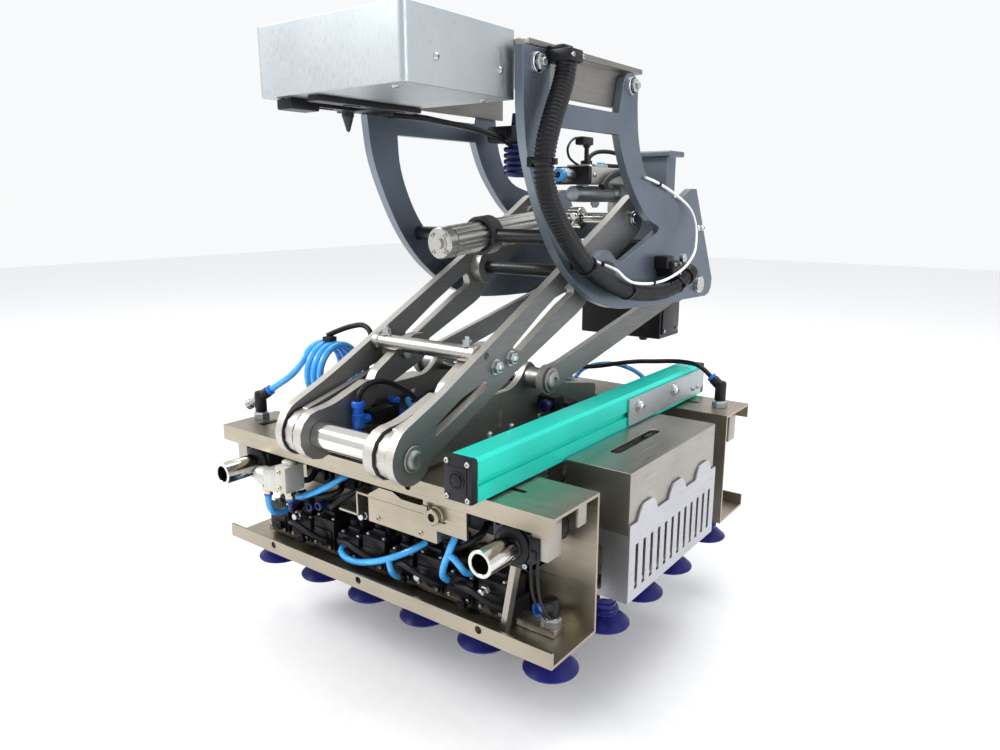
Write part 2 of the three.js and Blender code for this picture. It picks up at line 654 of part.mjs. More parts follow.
function buildBase() {
  node('cheek_plate_right', 'stainless', cheekPlate());
  node('cheek_plate_left', 'stainless', mirrored(cheekPlate()));
  node('lower_pivot_shaft', 'chrome', lowerPivotShaft());
  node('link_shaft_lower', 'chrome', linkShaftLower());
  node('cross_bar_front', 'aluminium', crossBar(-1));
  node('cross_bar_back', 'aluminium', crossBar(1));
  node('guide_rod_right', 'chrome', guideRod());
  node('guide_rod_left', 'chrome', mirrored(guideRod()));
  node('centre_plate', 'stainless', centrePlate());
  const { bottom, top } = CENTRE_PLATE;
  ['front', 'middle', 'back'].forEach((row, i) => {
    node(`cup_row_${row}`, 'navy', cupRow(CENTRE_ROWS[i], bottom, top));
  });
  node('end_cover_right', 'stainless', endCover());
  node('end_cover_left', 'stainless', mirrored(endCover()));
  node('slotted_guard_right', 'stainless', slottedGuard());
  node('slotted_guard_left', 'stainless', mirrored(slottedGuard()));
  buildEjector();
  const saddle = box([-15, 15], [14, 42], [top + GAP, 76]);
  const tube = bar('y', 0, 88, 14, -74, 74);
  node('spread_cylinder', 'aluminium', cut(join(saddle, tube), bar('y', 0, 88, 10, -75, 75)));
}

// ---------------------------------------------------------------- carriers
// Distances in Y are counted outwards from the carrier's wall; side is -1 for the front carrier.
function carrierFrame(side, wall) {
  const { half, bottom, top, depth, lip, skirt } = CARRIER;
  const section = polygon([
    [0, bottom], [depth, bottom], [depth, bottom + lip], [depth - SHEET, bottom + lip],
    [depth - SHEET, bottom + SHEET], [SHEET, bottom + SHEET], [SHEET, top - SHEET],
    [depth - SHEET, top - SHEET], [depth - SHEET, top - skirt], [depth, top - skirt], [depth, top], [0, top],
  ].map(([u, z]) => [wall + side * u, z]));
  const cupRow = wall + side * CUP.carrierReach;
  const through = [wall - 5, wall + 5];
  const edge = [wall + side * depth - 5, wall + side * depth + 5];
  const rodHole = bar('y', GUIDE.x, GUIDE.z, 20, ...through);
  const slotOutline = roundedPolygon([[150, -3, 3], [178, -3, 3], [178, 3, 3], [150, 3, 3]]);
  const slot = plate('z', slotOutline, top - 4, top + 1, 3).translate([0, wall + side * 40, 0]);
  return cut(
    plate('x', section, -half, half),
    stemHoles([cupRow], bottom, bottom + SHEET),
    rodHole,
    mirrored(rodHole),
    bar('y', 0, 88, 5.4, ...through, 16),
    slot,
    mirrored(slot),
    bar('y', 65, top - 9, 4, ...edge, 12),
    [-150, -10, 150].map((x) => bar('y', x, bottom + 10, 4, ...edge, 12)),
  );
}

// The bearing beam under the top flange: a bushed block round each guide rod with a stepped wing on
// its outer side, a strip between the blocks, and one leaning foot that stands on the carrier's floor.
function bearingBeam(side, wall) {
  const band = (from, to) => [wall + side * from, wall + side * to].sort((a, b) => a - b);
  const y = band(20, 66);
  const middle = (y[0] + y[1]) / 2;
  const top = CARRIER.top - SHEET - GAP;
  const strip = box([-GUIDE.x, GUIDE.x], [middle - 9, middle + 9], [top - 6, top]);
  const footZ = CARRIER.bottom + SHEET + GAP;
  const foot = plate('y', polygon([[165, footZ], [171, footZ], [185, 114], [179, 114]]), ...band(56, 65));
  const block = join(
    box([GUIDE.x - 22, GUIDE.x + 20], y, [113, top]),
    box([GUIDE.x + 19, GUIDE.x + 37], band(44, 66), [127, top]),
    bar('y', GUIDE.x, GUIDE.z, 19, ...band(-6, 21)),
  );
  const bore = bar('y', GUIDE.x, GUIDE.z, GUIDE.r + 0.4, -300, 300);
  return cut(join(strip, block, mirrored(block), foot), bore, mirrored(bore));
}

function spreadRod(side, wall) {
  const tip = side * 30;
  const outer = wall + side * 12;
  return join(
    bar('y', 0, 88, 5, Math.min(tip, outer), Math.max(tip, outer), 16),
    bar('y', 0, 88, 9.6, Math.min(tip, tip + side * 8), Math.max(tip, tip + side * 8)),
    bar('y', 0, 88, 9, Math.min(wall + side * (SHEET + GAP), outer - side * 2),
      Math.max(wall + side * (SHEET + GAP), outer - side * 2), 6),
  );
}

// A push-in elbow: hex foot, round body and a side socket that points along +Y when turn is 0.
function elbowFitting({ x, y, floor, turn, height }) {
  return join(
    bar('z', 0, 0, 10, 0, 8, 6),
    bar('z', 0, 0, 7, 7.9, height + 6),
    bar('y', 0, height, 6.5, 0, ELBOW_REACH),
  ).rotate([0, 0, turn]).translate([x, y, floor]);
}

// The valve block in front of the left bearing block: a low body, an upright plate with a port below.
function frontValveBlock() {
  return join(
    box([-169, -127], [-245, -214], [115, 138]),
    box([-127.1, -100], [-243, -214], [122, 152]),
    bar('z', -114, -229, 7, 112, 122.1, 12),
  );
}

// The bracket behind the front skirt: a hanging plate and the cross box that rests on it.
function frontBracket() {
  const skirtBack = FRONT_WALL - CARRIER.depth + SHEET;
  return join(
    box([82, 135], [skirtBack - 0.1, skirtBack + SHEET], [127, CARRIER.top - SHEET + 0.5]),
    box([4, 96], [skirtBack + SHEET - 0.1, skirtBack + 26], [112, 138]),
  );
}

function buildCarriers() {
  [['front', -1, FRONT_WALL], ['back', 1, BACK_WALL]].forEach(([prefix, side, wall]) => {
    const frame = carrierFrame(side, wall);
    const beam = bearingBeam(side, wall);
    const isFront = side < 0;
    node(`${prefix}_carrier_frame`, 'stainless', isFront ? join(frame, frontBracket()) : frame);
    node(`${prefix}_bearing_beam`, 'aluminium', isFront ? join(beam, frontValveBlock()) : beam);
    node(`${prefix}_cup_row`, 'navy', carrierCupRow(wall + side * CUP.carrierReach));
    node(`${prefix}_spread_rod`, 'chrome', spreadRod(side, wall));
  });
}

// ---------------------------------------------------------------- supply hose on the front carrier
const HOSE_R = 4;
const ELBOW_REACH = 18;
const TALL_ELBOW = 26;
const CARRIER_ROOF = CARRIER.top + GAP;
const COIL = { x: -153, y: -128, z: CARRIER_ROOF + TALL_ELBOW + 31, radius: 31, length: 44, turn: 8 };
const OUTLET_RUN = 60;
const INLET = { x: -217, y: -185, floor: CARRIER_ROOF, turn: -65, height: TALL_ELBOW };
const CORNER_PORT = {
  x: CUP.pitch * 2.5,
  y: FRONT_WALL - CUP.carrierReach,
  floor: CARRIER.bottom + SHEET + RAIL_HEIGHT + GAP,
  turn: 160,
  height: 20,
};
// The hose from the inlet elbow's socket to where the coil's first turn starts, at its front.
const SUPPLY_ROUTE = [
  [-200.4, -177.3, 200.3], [-194.5, -174.5, 200.3], [-183.8, -169.5, 202.7], [-174.7, -165.2, 209.4],
  [-168.6, -162.3, 219.4], [-166.5, -161.3, 231.3],
];

// A point of the coil: along its axis, across it towards the front, and up.
function coilPoint(along, across, up) {
  const { x, y, z, turn } = COIL;
  const [c, s] = [Math.cos(rad(turn)), Math.sin(rad(turn))];
  return [x + along * c + across * s, y + along * s - across * c, z + up];
}

// A profile of [radius, along] points turned round the coil's axis.
function roundCoil(profile) {
  const { x, y, z, turn } = COIL;
  return turned(profile, 24).rotate([0, 90, 0]).rotate([0, 0, turn]).translate([x, y, z]);
}

function buildSupply() {
  const { radius, length, turn } = COIL;
  const half = length / 2;
  const slack = 0.5;
  const [inner, outer] = [radius - HOSE_R - slack, radius + HOSE_R + slack];
  const ring = roundCoil([[inner, -half], [outer, -half], [outer, half], [inner, half], [inner, -half]]);
  const disc = roundCoil([[0, -half], [outer + GAP, -half], [outer + GAP, half], [0, half]]);
  const foot = (run) => coilPoint(half - HOSE_R, run, -radius);
  const [x, y] = foot(OUTLET_RUN);
  const outletRoute = [foot(0), foot(OUTLET_RUN / 2), foot(OUTLET_RUN - ELBOW_REACH - GAP)];
  node('inlet_elbow', 'black', elbowFitting(INLET));
  node('outlet_elbow', 'black', elbowFitting({ x, y, floor: CARRIER_ROOF, turn, height: TALL_ELBOW }));
  node('corner_elbow', 'black', elbowFitting(CORNER_PORT));
  node('supply_coil', 'blue', ring);
  node('supply_tube_in', 'blue', cut(hose(SUPPLY_ROUTE, HOSE_R, { sides: 8, steps: 14 }), disc));
  node('supply_tube_out', 'blue', cut(hose(outletRoute, HOSE_R, { sides: 8, steps: 8 }), disc));
}

buildHead();
buildArms();
buildLinks();
buildCylinder();
buildBase();
buildCarriers();
buildSupply();

const gripper = new THREE.Group();
gripper.position.set(0, -MOUNT_FACE.y, -MOUNT_FACE.z);
nodes.forEach((mesh) => gripper.add(mesh));

export default gripper;
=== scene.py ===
from math import cos, pi, radians, sin, sqrt

import bmesh
import bpy
from mathutils import Matrix, Vector


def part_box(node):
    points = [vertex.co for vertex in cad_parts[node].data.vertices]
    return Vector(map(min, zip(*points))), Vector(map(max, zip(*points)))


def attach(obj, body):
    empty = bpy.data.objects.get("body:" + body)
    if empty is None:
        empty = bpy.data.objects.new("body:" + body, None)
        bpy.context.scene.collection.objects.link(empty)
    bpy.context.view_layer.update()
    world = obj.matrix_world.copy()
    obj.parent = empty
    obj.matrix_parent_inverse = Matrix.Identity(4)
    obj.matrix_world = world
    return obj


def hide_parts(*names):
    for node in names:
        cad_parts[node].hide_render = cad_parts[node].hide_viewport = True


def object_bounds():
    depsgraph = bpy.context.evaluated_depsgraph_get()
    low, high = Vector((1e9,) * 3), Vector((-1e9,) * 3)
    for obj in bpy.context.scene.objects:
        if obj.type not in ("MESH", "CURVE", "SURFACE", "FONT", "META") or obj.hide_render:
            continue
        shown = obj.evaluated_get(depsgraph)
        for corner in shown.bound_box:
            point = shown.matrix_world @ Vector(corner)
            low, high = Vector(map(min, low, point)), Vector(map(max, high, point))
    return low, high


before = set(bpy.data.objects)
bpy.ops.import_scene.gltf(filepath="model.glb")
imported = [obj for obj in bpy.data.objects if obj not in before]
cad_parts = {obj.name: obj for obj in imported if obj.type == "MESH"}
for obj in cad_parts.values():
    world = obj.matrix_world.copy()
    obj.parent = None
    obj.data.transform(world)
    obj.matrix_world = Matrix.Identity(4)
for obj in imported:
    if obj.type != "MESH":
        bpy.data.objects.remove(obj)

cad_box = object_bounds()

# --- drawing axes
# Sizes are in millimetres. The drawing's zero is on the floor under the robot mounting face:
# x to the right, y to the back, z up. The row frame's zero is the centre of that face.
MM = 0.001
FLOOR_Z = cad_box[0].z / MM
FACE_Y = 20


def at(x, y, z):
    """A point of the drawing in the row frame."""
    return Vector((x * MM, (y - FACE_Y) * MM, (z + FLOOR_Z) * MM))


def drawn(point):
    """A point of the row frame in the drawing."""
    return Vector((point[0] / MM, point[1] / MM + FACE_Y, point[2] / MM - FLOOR_Z))


def drawn_box(node):
    """Lowest and highest corner of a CAD node in the drawing."""
    low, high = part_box(node)
    return drawn(low), drawn(high)


def middle(node):
    low, high = drawn_box(node)
    return (low + high) / 2


def centre_of(node):
    """Centre of a CAD node's box in the drawing, as plain numbers."""
    return [(a + b) / 2 for a, b in zip(*drawn_box(node))]


def add_object(name, data):
    obj = bpy.data.objects.new(name, data)
    bpy.context.scene.collection.objects.link(obj)
    return obj


# --- camera
CAMERA_AT = (0.5505, -0.7515, -0.1602)
CAMERA_FORWARD = (-0.5834, 0.7812, -0.2222)
CAMERA_LENS = 27.74
CAMERA_SENSOR = 36

camera_data = bpy.data.cameras.new("camera")
camera_data.lens = CAMERA_LENS
camera_data.sensor_width = CAMERA_SENSOR
camera = add_object("camera", camera_data)
camera.location = CAMERA_AT
camera.rotation_euler = Vector(CAMERA_FORWARD).to_track_quat("-Z", "Y").to_euler()
bpy.context.scene.camera = camera


# --- materials
NOISE_ROUGHNESS = 0.55


class Graph:
    """A node material with its Principled shader."""

    def __init__(self, name):
        self.material = bpy.data.materials.new(name)
        self.material.use_nodes = True
        self.nodes = self.material.node_tree.nodes
        self.links = self.material.node_tree.links
        self.shader = self.nodes["Principled BSDF"]
        self.place = self.add("ShaderNodeTexCoord").outputs["Object"]

    def add(self, kind, inputs=None, **settings):
        node = self.nodes.new(kind)
        for key, value in settings.items():
            setattr(node, key, value)
        for key, value in (inputs or {}).items():
            if isinstance(value, bpy.types.NodeSocket):
                self.links.new(value, node.inputs[key])
            else:
                node.inputs[key].default_value = value
        return node

    def noise(self, scale, detail, stretch=(1, 1, 1)):
        """Noise of that many waves a metre, drawn out along an axis where stretch is small."""
        mapping = self.add("ShaderNodeMapping", {"Vector": self.place, "Scale": stretch})
        return self.add(
            "ShaderNodeTexNoise",
            {"Vector": mapping.outputs[0], "Scale": scale, "Detail": detail, "Roughness": NOISE_ROUGHNESS},
        ).outputs["Fac"]

    def spread(self, value, low, high, start=0.3, end=0.7):
        """The value between start and end becomes low to high."""
        return self.add(
            "ShaderNodeMapRange",
            {"Value": value, "From Min": start, "From Max": end, "To Min": low, "To Max": high},
        ).outputs["Result"]

    def blend(self, factor, first, second):
        """The first colour where the factor is 0, the second where it is 1."""
        node = self.add("ShaderNodeMix", data_type="RGBA", blend_type="MIX")
        for key, value in (("Factor_Float", factor), ("A_Color", first), ("B_Color", second)):
            socket = next(s for s in node.inputs if s.identifier == key)
            if isinstance(value, bpy.types.NodeSocket):
                self.links.new(value, socket)
            else:
                socket.default_value = value
        return next(s for s in node.outputs if s.identifier == "Result_Color")

    def facing(self, axis):
        """How far the surface faces along an axis of the row frame, 0 to 1."""
        normal = self.add("ShaderNodeNewGeometry").outputs["Normal"]
        part = self.add("ShaderNodeSeparateXYZ", {"Vector": normal}).outputs[axis]
        return self.add("ShaderNodeMath", {0: part}, operation="ABSOLUTE").outputs[0]

    def bump(self, height, strength, distance):
        inputs = {"Height": height, "Strength": strength, "Distance": distance}
        return self.add("ShaderNodeBump", inputs).outputs["Normal"]

    def finish(self, **sockets):
        for key, value in sockets.items():
            socket = self.shader.inputs[key.replace("_", " ")]
            if isinstance(value, bpy.types.NodeSocket):
                self.links.new(value, socket)
            else:
                socket.default_value = value
        return self.material


def rgba(r, g, b):
    return (r, g, b, 1.0)


def shade(color, factor):
    return tuple(min(1.0, c * factor) for c in color[:3]) + (1.0,)


def metal(name, color, roughness, brush=None, metallic=1.0, cut_color=None, bump=0.12, cloud=0.16):
    """Metal with cloudy tone and brush marks. Faces that don't look along X take the cut colour."""
    g = Graph(name)
    grain = g.noise(900 if brush else 420, 5, brush or (1, 1, 1))
    clouds = g.noise(9, 3)
    specks = g.noise(140, 2)
    tone = g.blend(g.spread(clouds, 0, 1), shade(color, 1 - cloud), shade(color, 1 + cloud))
    tone = g.blend(g.spread(grain, 0.0, 0.35), tone, shade(color, 0.78))
    tone = g.blend(g.spread(specks, 0.0, 0.2, 0.62, 0.75), tone, shade(color, 0.55))
    rough = g.spread(grain, roughness * 0.75, roughness * 1.3)
    if cut_color is not None:
        flat = g.spread(g.facing("X"), 0, 1, 0.55, 0.85)
        lines = g.noise(1500, 3, (0.06, 1, 1))
        cut = g.blend(g.spread(lines, 0, 0.5), cut_color, shade(cut_color, 0.7))
        tone = g.blend(flat, cut, tone)
    return g.finish(
        Base_Color=tone, Roughness=rough, Metallic=metallic, Normal=g.bump(grain, bump, 0.00015)
    )


def plastic(name, color, roughness, grain_scale=1800, bump=0.25, wear=0.25, gloss=0.5):
    """Moulded plastic or rubber with a fine grain, lighter where the grain stands high, and uneven gloss."""
    g = Graph(name)
    grain = g.noise(grain_scale, 3)
    clouds = g.noise(26, 4)
    tone = g.blend(g.spread(clouds, 0, 1), shade(color, 1 - wear), shade(color, 1 + wear))
    tone = g.blend(g.spread(grain, 0, 0.25, 0.5, 0.8), tone, shade(color, 1.8))
    rough = g.spread(clouds, roughness * 0.8, min(1.0, roughness * 1.25))
    return g.finish(
        Base_Color=tone, Roughness=rough, Specular_IOR_Level=gloss, Normal=g.bump(grain, bump, 0.0001)
    )


def hose_plastic(name, color):
    """Polyurethane hose: glossy, a little see-through, with faint lines along it."""
    g = Graph(name)
    lines = g.noise(500, 2)
    clouds = g.noise(40, 3)
    tone = g.blend(g.spread(clouds, 0, 1), shade(color, 0.8), shade(color, 1.25))
    rough = g.spread(lines, 0.18, 0.32)
    return g.finish(
        Base_Color=tone, Roughness=rough, Subsurface_Weight=0.25, Coat_Weight=0.3,
        Normal=g.bump(lines, 0.08, 0.0001),
    )


def anodised(name, color):
    """Coloured anodised extrusion with die lines along Y and a fine sparkle."""
    g = Graph(name)
    lines = g.noise(1400, 3, (1, 0.01, 1))
    sparkle = g.noise(2600, 2)
    clouds = g.noise(7, 3)
    tone = g.blend(g.spread(clouds, 0, 1), shade(color, 0.88), shade(color, 1.1))
    tone = g.blend(g.spread(lines, 0, 0.3), tone, shade(color, 0.7))
    tone = g.blend(g.spread(sparkle, 0, 0.25, 0.55, 0.7), tone, shade(color, 1.6))
    rough = g.spread(lines, 0.3, 0.48)
    return g.finish(Base_Color=tone, Roughness=rough, Metallic=0.35, Normal=g.bump(lines, 0.2, 0.0001))


BEIGE = rgba(0.39, 0.345, 0.275)
BLUE_GREY = rgba(0.125, 0.152, 0.195)
ARM_GREY = rgba(0.175, 0.175, 0.175)
CUT_STEEL = rgba(0.56, 0.54, 0.50)
LOOKS = {
    "stainless": metal("brushed_stainless", BEIGE, 0.36, brush=(0.02, 1, 1), bump=0.07),
    "stainless_side": metal("brushed_stainless_side", rgba(0.36, 0.34, 0.305), 0.36, brush=(1, 0.02, 1),
        bump=0.07),
    "painted_steel": metal("hanger_steel", BLUE_GREY, 0.36, cut_color=rgba(0.20, 0.235, 0.28),
        metallic=0.7),
    "arm_steel": metal("arm_steel", ARM_GREY, 0.46, brush=(1, 0.03, 1), cut_color=CUT_STEEL, metallic=0.7),
    "cheek_steel": metal("cheek_steel", rgba(0.24, 0.23, 0.215), 0.42, brush=(1, 0.03, 1),
        cut_color=CUT_STEEL, metallic=0.9),
    "guard_sheet": metal("guard_sheet", rgba(0.50, 0.50, 0.53), 0.36, brush=(1, 0.03, 1), cloud=0.10),
    "zinc": metal("zinc_plated_sheet", rgba(0.48, 0.52, 0.55), 0.42, brush=(1, 1, 0.15), cloud=0.10),
    "chrome": metal("hard_chrome", rgba(0.66, 0.645, 0.61), 0.13, brush=(1, 1, 1), bump=0.03, cloud=0.05),
    "aluminium": metal("satin_aluminium", rgba(0.48, 0.47, 0.44), 0.30, brush=(1, 0.02, 1)),
    "cast_grey": metal("cast_aluminium", rgba(0.52, 0.52, 0.48), 0.46, bump=0.3, metallic=0.5),
    "steel_screw": metal("zinc_plated_screw", rgba(0.50, 0.52, 0.53), 0.33),
    "head_steel": metal("turned_steel", rgba(0.34, 0.335, 0.32), 0.44),
    "dark_steel": metal("black_oxide_steel", rgba(0.035, 0.036, 0.04), 0.36, metallic=0.6),
    "brass": metal("nickel_brass", rgba(0.60, 0.50, 0.31), 0.24),
    "turquoise": anodised("turquoise_anodised", rgba(0.012, 0.66, 0.54)),
    "black": plastic("black_moulded_plastic", rgba(0.007, 0.007, 0.009), 0.38, gloss=0.28),
    "black_rubber": plastic("black_rubber", rgba(0.006, 0.006, 0.008), 0.44, grain_scale=900, bump=0.4,
        gloss=0.25),
    "navy": plastic("navy_cup_rubber", rgba(0.004, 0.005, 0.13), 0.40, grain_scale=700, gloss=0.3),
    "navy_block": plastic("navy_valve_plastic", rgba(0.006, 0.010, 0.085), 0.34),
    "blue": hose_plastic("blue_hose", rgba(0.035, 0.36, 0.80)),
    "blue_ring": plastic("blue_release_ring", rgba(0.01, 0.12, 0.62), 0.32),
    "white": plastic("white_cable", rgba(0.78, 0.79, 0.80), 0.4, wear=0.08),
}
SLOTS = {look: look for look in LOOKS}
SLOTS.update({
    "stainless_side": "stainless", "cheek_steel": "stainless", "guard_sheet": "zinc", "steel_screw": "zinc",
    "cast_grey": "aluminium", "head_steel": "aluminium", "brass": "aluminium", "dark_steel": "black",
    "black_rubber": "black", "navy_block": "navy", "blue_ring": "blue",
})


# --- mesh tools
WASHER = 1.6


def smooth_by_angle(mesh, degrees):
    """Faces shade smooth, and edges sharper than the angle stay crisp."""
    bm = bmesh.new()
    bm.from_mesh(mesh)
    limit = radians(degrees)
    for face in bm.faces:
        face.smooth = True
    for edge in bm.edges:
        edge.smooth = len(edge.link_faces) == 2 and edge.calc_face_angle(0) < limit
    bm.to_mesh(mesh)
    bm.free()


def piece(name, bm, look, body, replaces=(), angle=35):
    """A new piece from a mesh drawn in the row frame."""
    bmesh.ops.remove_doubles(bm, verts=bm.verts, dist=1e-6)
    bmesh.ops.recalc_face_normals(bm, faces=bm.faces)
    mesh = bpy.data.meshes.new(name)
    bm.to_mesh(mesh)
    bm.free()
    smooth_by_angle(mesh, angle)
    return settle(add_object(name, mesh), look, body, replaces)


def settle(obj, look, body, replaces):
    """Gives a piece its look and its body, and hides the CAD nodes that it stands for."""
    obj.data.materials.append(LOOKS[look])
    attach(obj, body)
    if replaces:
        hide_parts(*replaces)
    return obj


def add_bevel(obj, width):
    bevel = obj.modifiers.new("soft_edges", "BEVEL")
    bevel.width = width * MM
    bevel.segments = 2
    bevel.limit_method = "ANGLE"
    bevel.angle_limit = radians(38)
    bevel.miter_outer = "MITER_ARC"
    normals = obj.modifiers.new("flat_shading", "WEIGHTED_NORMAL")
    normals.weight = 100
    normals.keep_sharp = False


def frame_of(axis):
    """Two directions square to an axis and to each other."""
    axis = Vector(axis).normalized()
    side = Vector((0, 0, 1)) if abs(axis.z) < 0.9 else Vector((1, 0, 0))
    u = axis.cross(side).normalized()
    return u, axis.cross(u)


def lathe(bm, start, axis, profile, segments):
    """Turns a profile of (along, radius) in millimetres round the axis through start.
    A profile that starts and ends on the axis closes by itself; any other is closed as a ring."""
    axis = Vector(axis).normalized()
    u, v = frame_of(axis)
    rings = []
    for along, radius in profile:
        base = start + axis * along * MM
        if radius < 1e-6:
            rings.append([bm.verts.new(base)])
            continue
        angles = [2 * pi * i / segments for i in range(segments)]
        rings.append([bm.verts.new(base + (u * cos(a) + v * sin(a)) * radius * MM) for a in angles])
    pairs = list(zip(rings, rings[1:]))
    if len(rings[0]) > 1 and len(rings[-1]) > 1:
        pairs.append((rings[-1], rings[0]))
    for first, second in pairs:
        for i in range(segments):
            j = (i + 1) % segments
            corners = []
            for vert in (first[i % len(first)], first[j % len(first)], second[j % len(second)],
                    second[i % len(second)]):
                if vert not in corners:
                    corners.append(vert)
            if len(corners) > 2:
                bm.faces.new(corners)


def solid(bm, start, axis, outline, segments):
    """A turned solid: its outline of (along, radius), closed straight to the axis at both ends."""
    lathe(bm, start, axis, [(outline[0][0], 0), *outline, (outline[-1][0], 0)], segments)


def rod(bm, start, end, radius, segments=32):
    """A round bar with a small chamfer at both ends."""
    axis = end - start
    length = axis.length / MM
    c = min(0.5, radius / 3, length / 3)
    profile = [(0, 0), (0, radius - c), (c, radius), (length - c, radius), (length, radius - c),
        (length, 0)]
    lathe(bm, start, axis, profile, segments)


def pipe(bm, start, end, radius, bore):
    """A round tube with a small chamfer at both ends."""
    axis = end - start
    length = axis.length / MM
    c = 0.6
    profile = [(c, bore), (0, bore + c), (0, radius - c), (c, radius), (length - c, radius),
        (length, radius - c), (length, bore + c), (length - c, bore)]
    lathe(bm, start, axis, profile, 48)


def block(bm, corner, opposite, chamfer):
    """A box with chamfered edges between two opposite corners of the drawing."""
    made = bmesh.ops.create_cube(bm, size=1)["verts"]
    pairs = [sorted(pair) for pair in zip(corner, opposite)]
    low, high = (Vector([pair[i] for pair in pairs]) for i in (0, 1))
    size = high - low
    centre = (high + low) / 2
    for vert in made:
        local = Vector((vert.co.x * size.x, vert.co.y * size.y, vert.co.z * size.z))
        vert.co = at(*(centre + local))
    edges = list(dict.fromkeys(e for vert in made for e in vert.link_edges))
    offset = min(chamfer, min(size) / 3) * MM
    bmesh.ops.bevel(bm, geom=edges, offset=offset, segments=2, profile=0.6, affect="EDGES")


def prism(bm, outline, axis, start, end):
    """A flat plate: an outline of points in the plane square to the axis, from start to end."""
    def place(u, v, w):
        return at(*{"x": (w, u, v), "y": (u, w, v), "z": (u, v, w)}[axis])

    skin(bm, [[bm.verts.new(place(u, v, w)) for u, v in outline] for w in (start, end)])


def hexagon(bm, start, axis, across, height):
    """A hexagon head or nut with chamfered corners, standing on start."""
    radius = across / sqrt(3)
    c = height * 0.15
    solid(bm, start, axis, [(0, radius), (height - c, radius), (height, radius * 0.9)], 6)


def washer(bm, start, axis, radius):
    solid(bm, start, axis, [(0, radius), (WASHER, radius - 0.2)], 32)


def socket_head(bm, start, axis, radius, height):
    """A socket cap screw's head with a hexagon socket."""
    axis = Vector(axis).normalized()
    edge = min(0.6, radius * 0.12)
    hole = radius * 0.5
    solid(bm, start, axis, [(0, radius), (height - edge, radius), (height, radius - edge), (height, hole),
        (height * 0.35, hole)], 24)


def button_head(bm, start, axis, radius, height):
    """A low domed screw head with a socket."""
    steps = [(height * sin(a), radius * cos(a)) for a in (0, 0.35, 0.7, 1.0)]
    lathe(bm, start, axis, [(0, 0), *steps, (height, radius * 0.4), (height * 0.4, radius * 0.36),
        (height * 0.4, 0)], 20)


def smooth_line(points, steps=8):
    """Points of a Catmull-Rom curve through the given points."""
    points = [Vector(p) for p in points]
    ends = [points[0] * 2 - points[1], *points, points[-1] * 2 - points[-2]]
    line = []
    for i in range(1, len(ends) - 2):
        p0, p1, p2, p3 = ends[i - 1:i + 3]
        for s in range(steps):
            t = s / steps
            square, cube = 2 * p0 - 5 * p1 + 4 * p2 - p3, 3 * p1 - p0 - 3 * p2 + p3
            line.append(0.5 * ((2 * p1) + (p2 - p0) * t + square * t * t + cube * t ** 3))
    line.append(points[-1])
    return line


def tube(name, line, radius, look, body, replaces=(), sides=4):
    """A round hose or cable: a curve through the points, which are in the row frame."""
    curve = bpy.data.curves.new(name, "CURVE")
    curve.dimensions = "3D"
    curve.bevel_depth = radius * MM
    curve.bevel_resolution = sides
    curve.use_fill_caps = True
    spline = curve.splines.new("POLY")
    spline.points.add(len(line) - 1)
    for spot, place in zip(spline.points, line):
        spot.co = (*place, 1)
    spline.use_smooth = True
    return settle(add_object(name, curve), look, body, replaces)


def hose(name, points, radius, look, body, replaces=(), steps=8):
    return tube(name, smooth_line([at(*p) for p in points], steps), radius, look, body, replaces)


def skin(bm, rings):
    """Faces between rings of as many points, and a flat end on the first and the last."""
    for first, second in zip(rings, rings[1:]):
        for i in range(len(first)):
            j = (i + 1) % len(first)
            bm.faces.new((first[i], first[j], second[j], second[i]))
    bm.faces.new(rings[0][::-1])
    bm.faces.new(rings[-1])


def even_line(line, step):
    """The same line with its points a step apart, in millimetres."""
    marks = [0.0]
    for a, b in zip(line, line[1:]):
        marks.append(marks[-1] + (b - a).length)
    count = max(2, round(marks[-1] / (step * MM)))
    spots, k = [], 0
    for i in range(count + 1):
        mark = marks[-1] * i / count
        while k < len(marks) - 2 and marks[k + 1] < mark:
            k += 1
        spots.append(line[k].lerp(line[k + 1], (mark - marks[k]) / (marks[k + 1] - marks[k])))
    return spots


def sweep(bm, line, radii, segments):
    """Round sections along a line, their radii taken in turn, with a flat end at both ends."""
    side = frame_of(line[1] - line[0])[0]
    rings = []
    for i, spot in enumerate(line):
        axis = (line[min(i + 1, len(line) - 1)] - line[max(i - 1, 0)]).normalized()
        side = (side - axis * side.dot(axis)).normalized()
        other = axis.cross(side)
        radius = radii[i % len(radii)] * MM
        angles = [2 * pi * k / segments for k in range(segments)]
        rings.append([bm.verts.new(spot + (side * cos(a) + other * sin(a)) * radius) for a in angles])
    skin(bm, rings)


def bolt(bm, place, axis, radius, height, under=0.0):
    """A button-head bolt on a point of the drawing, on a washer of radius under if there is one."""
    spot = at(*place)
    if under:
        washer(bm, spot, axis, under)
        spot = spot + axis * WASHER * MM
    button_head(bm, spot, axis, radius, height)


X, Y, Z = Vector((1, 0, 0)), Vector((0, 1, 0)), Vector((0, 0, 1))
SIDES = (("right", 1), ("left", -1))
# Thickness of the carriers' sheet and of the centre plate, and the gap under a piece that stands on a sheet.
SHEET = 3
CENTRE_PLATE = 4
GAP = 0.3
CARRIER_TOP = drawn_box("front_carrier_frame")[1].z
FITTING_Z = CARRIER_TOP + GAP


def meshes(count):
    return [bmesh.new() for _ in range(count)]


# --- supply hose
HOSE_RADIUS = 4
COIL_CENTRE = middle("supply_coil")
COIL = {"radius": 32.5, "length": 44, "turn": radians(8), "start": 0.1, "turns": 3.75, "steps": 40}
INLET = {"place": (-217, -185), "turn": radians(-65), "height": 26, "tilt": radians(34)}
OUTLET_RUN = 41.7
ELBOW_REACH = 18
ENTRY_STEPS = 12
OUTLET_STEPS = 8


def coil_point(along, across, up):
    c, s = cos(COIL["turn"]), sin(COIL["turn"])
    return COIL_CENTRE + Vector((along * c + across * s, along * s - across * c, up))


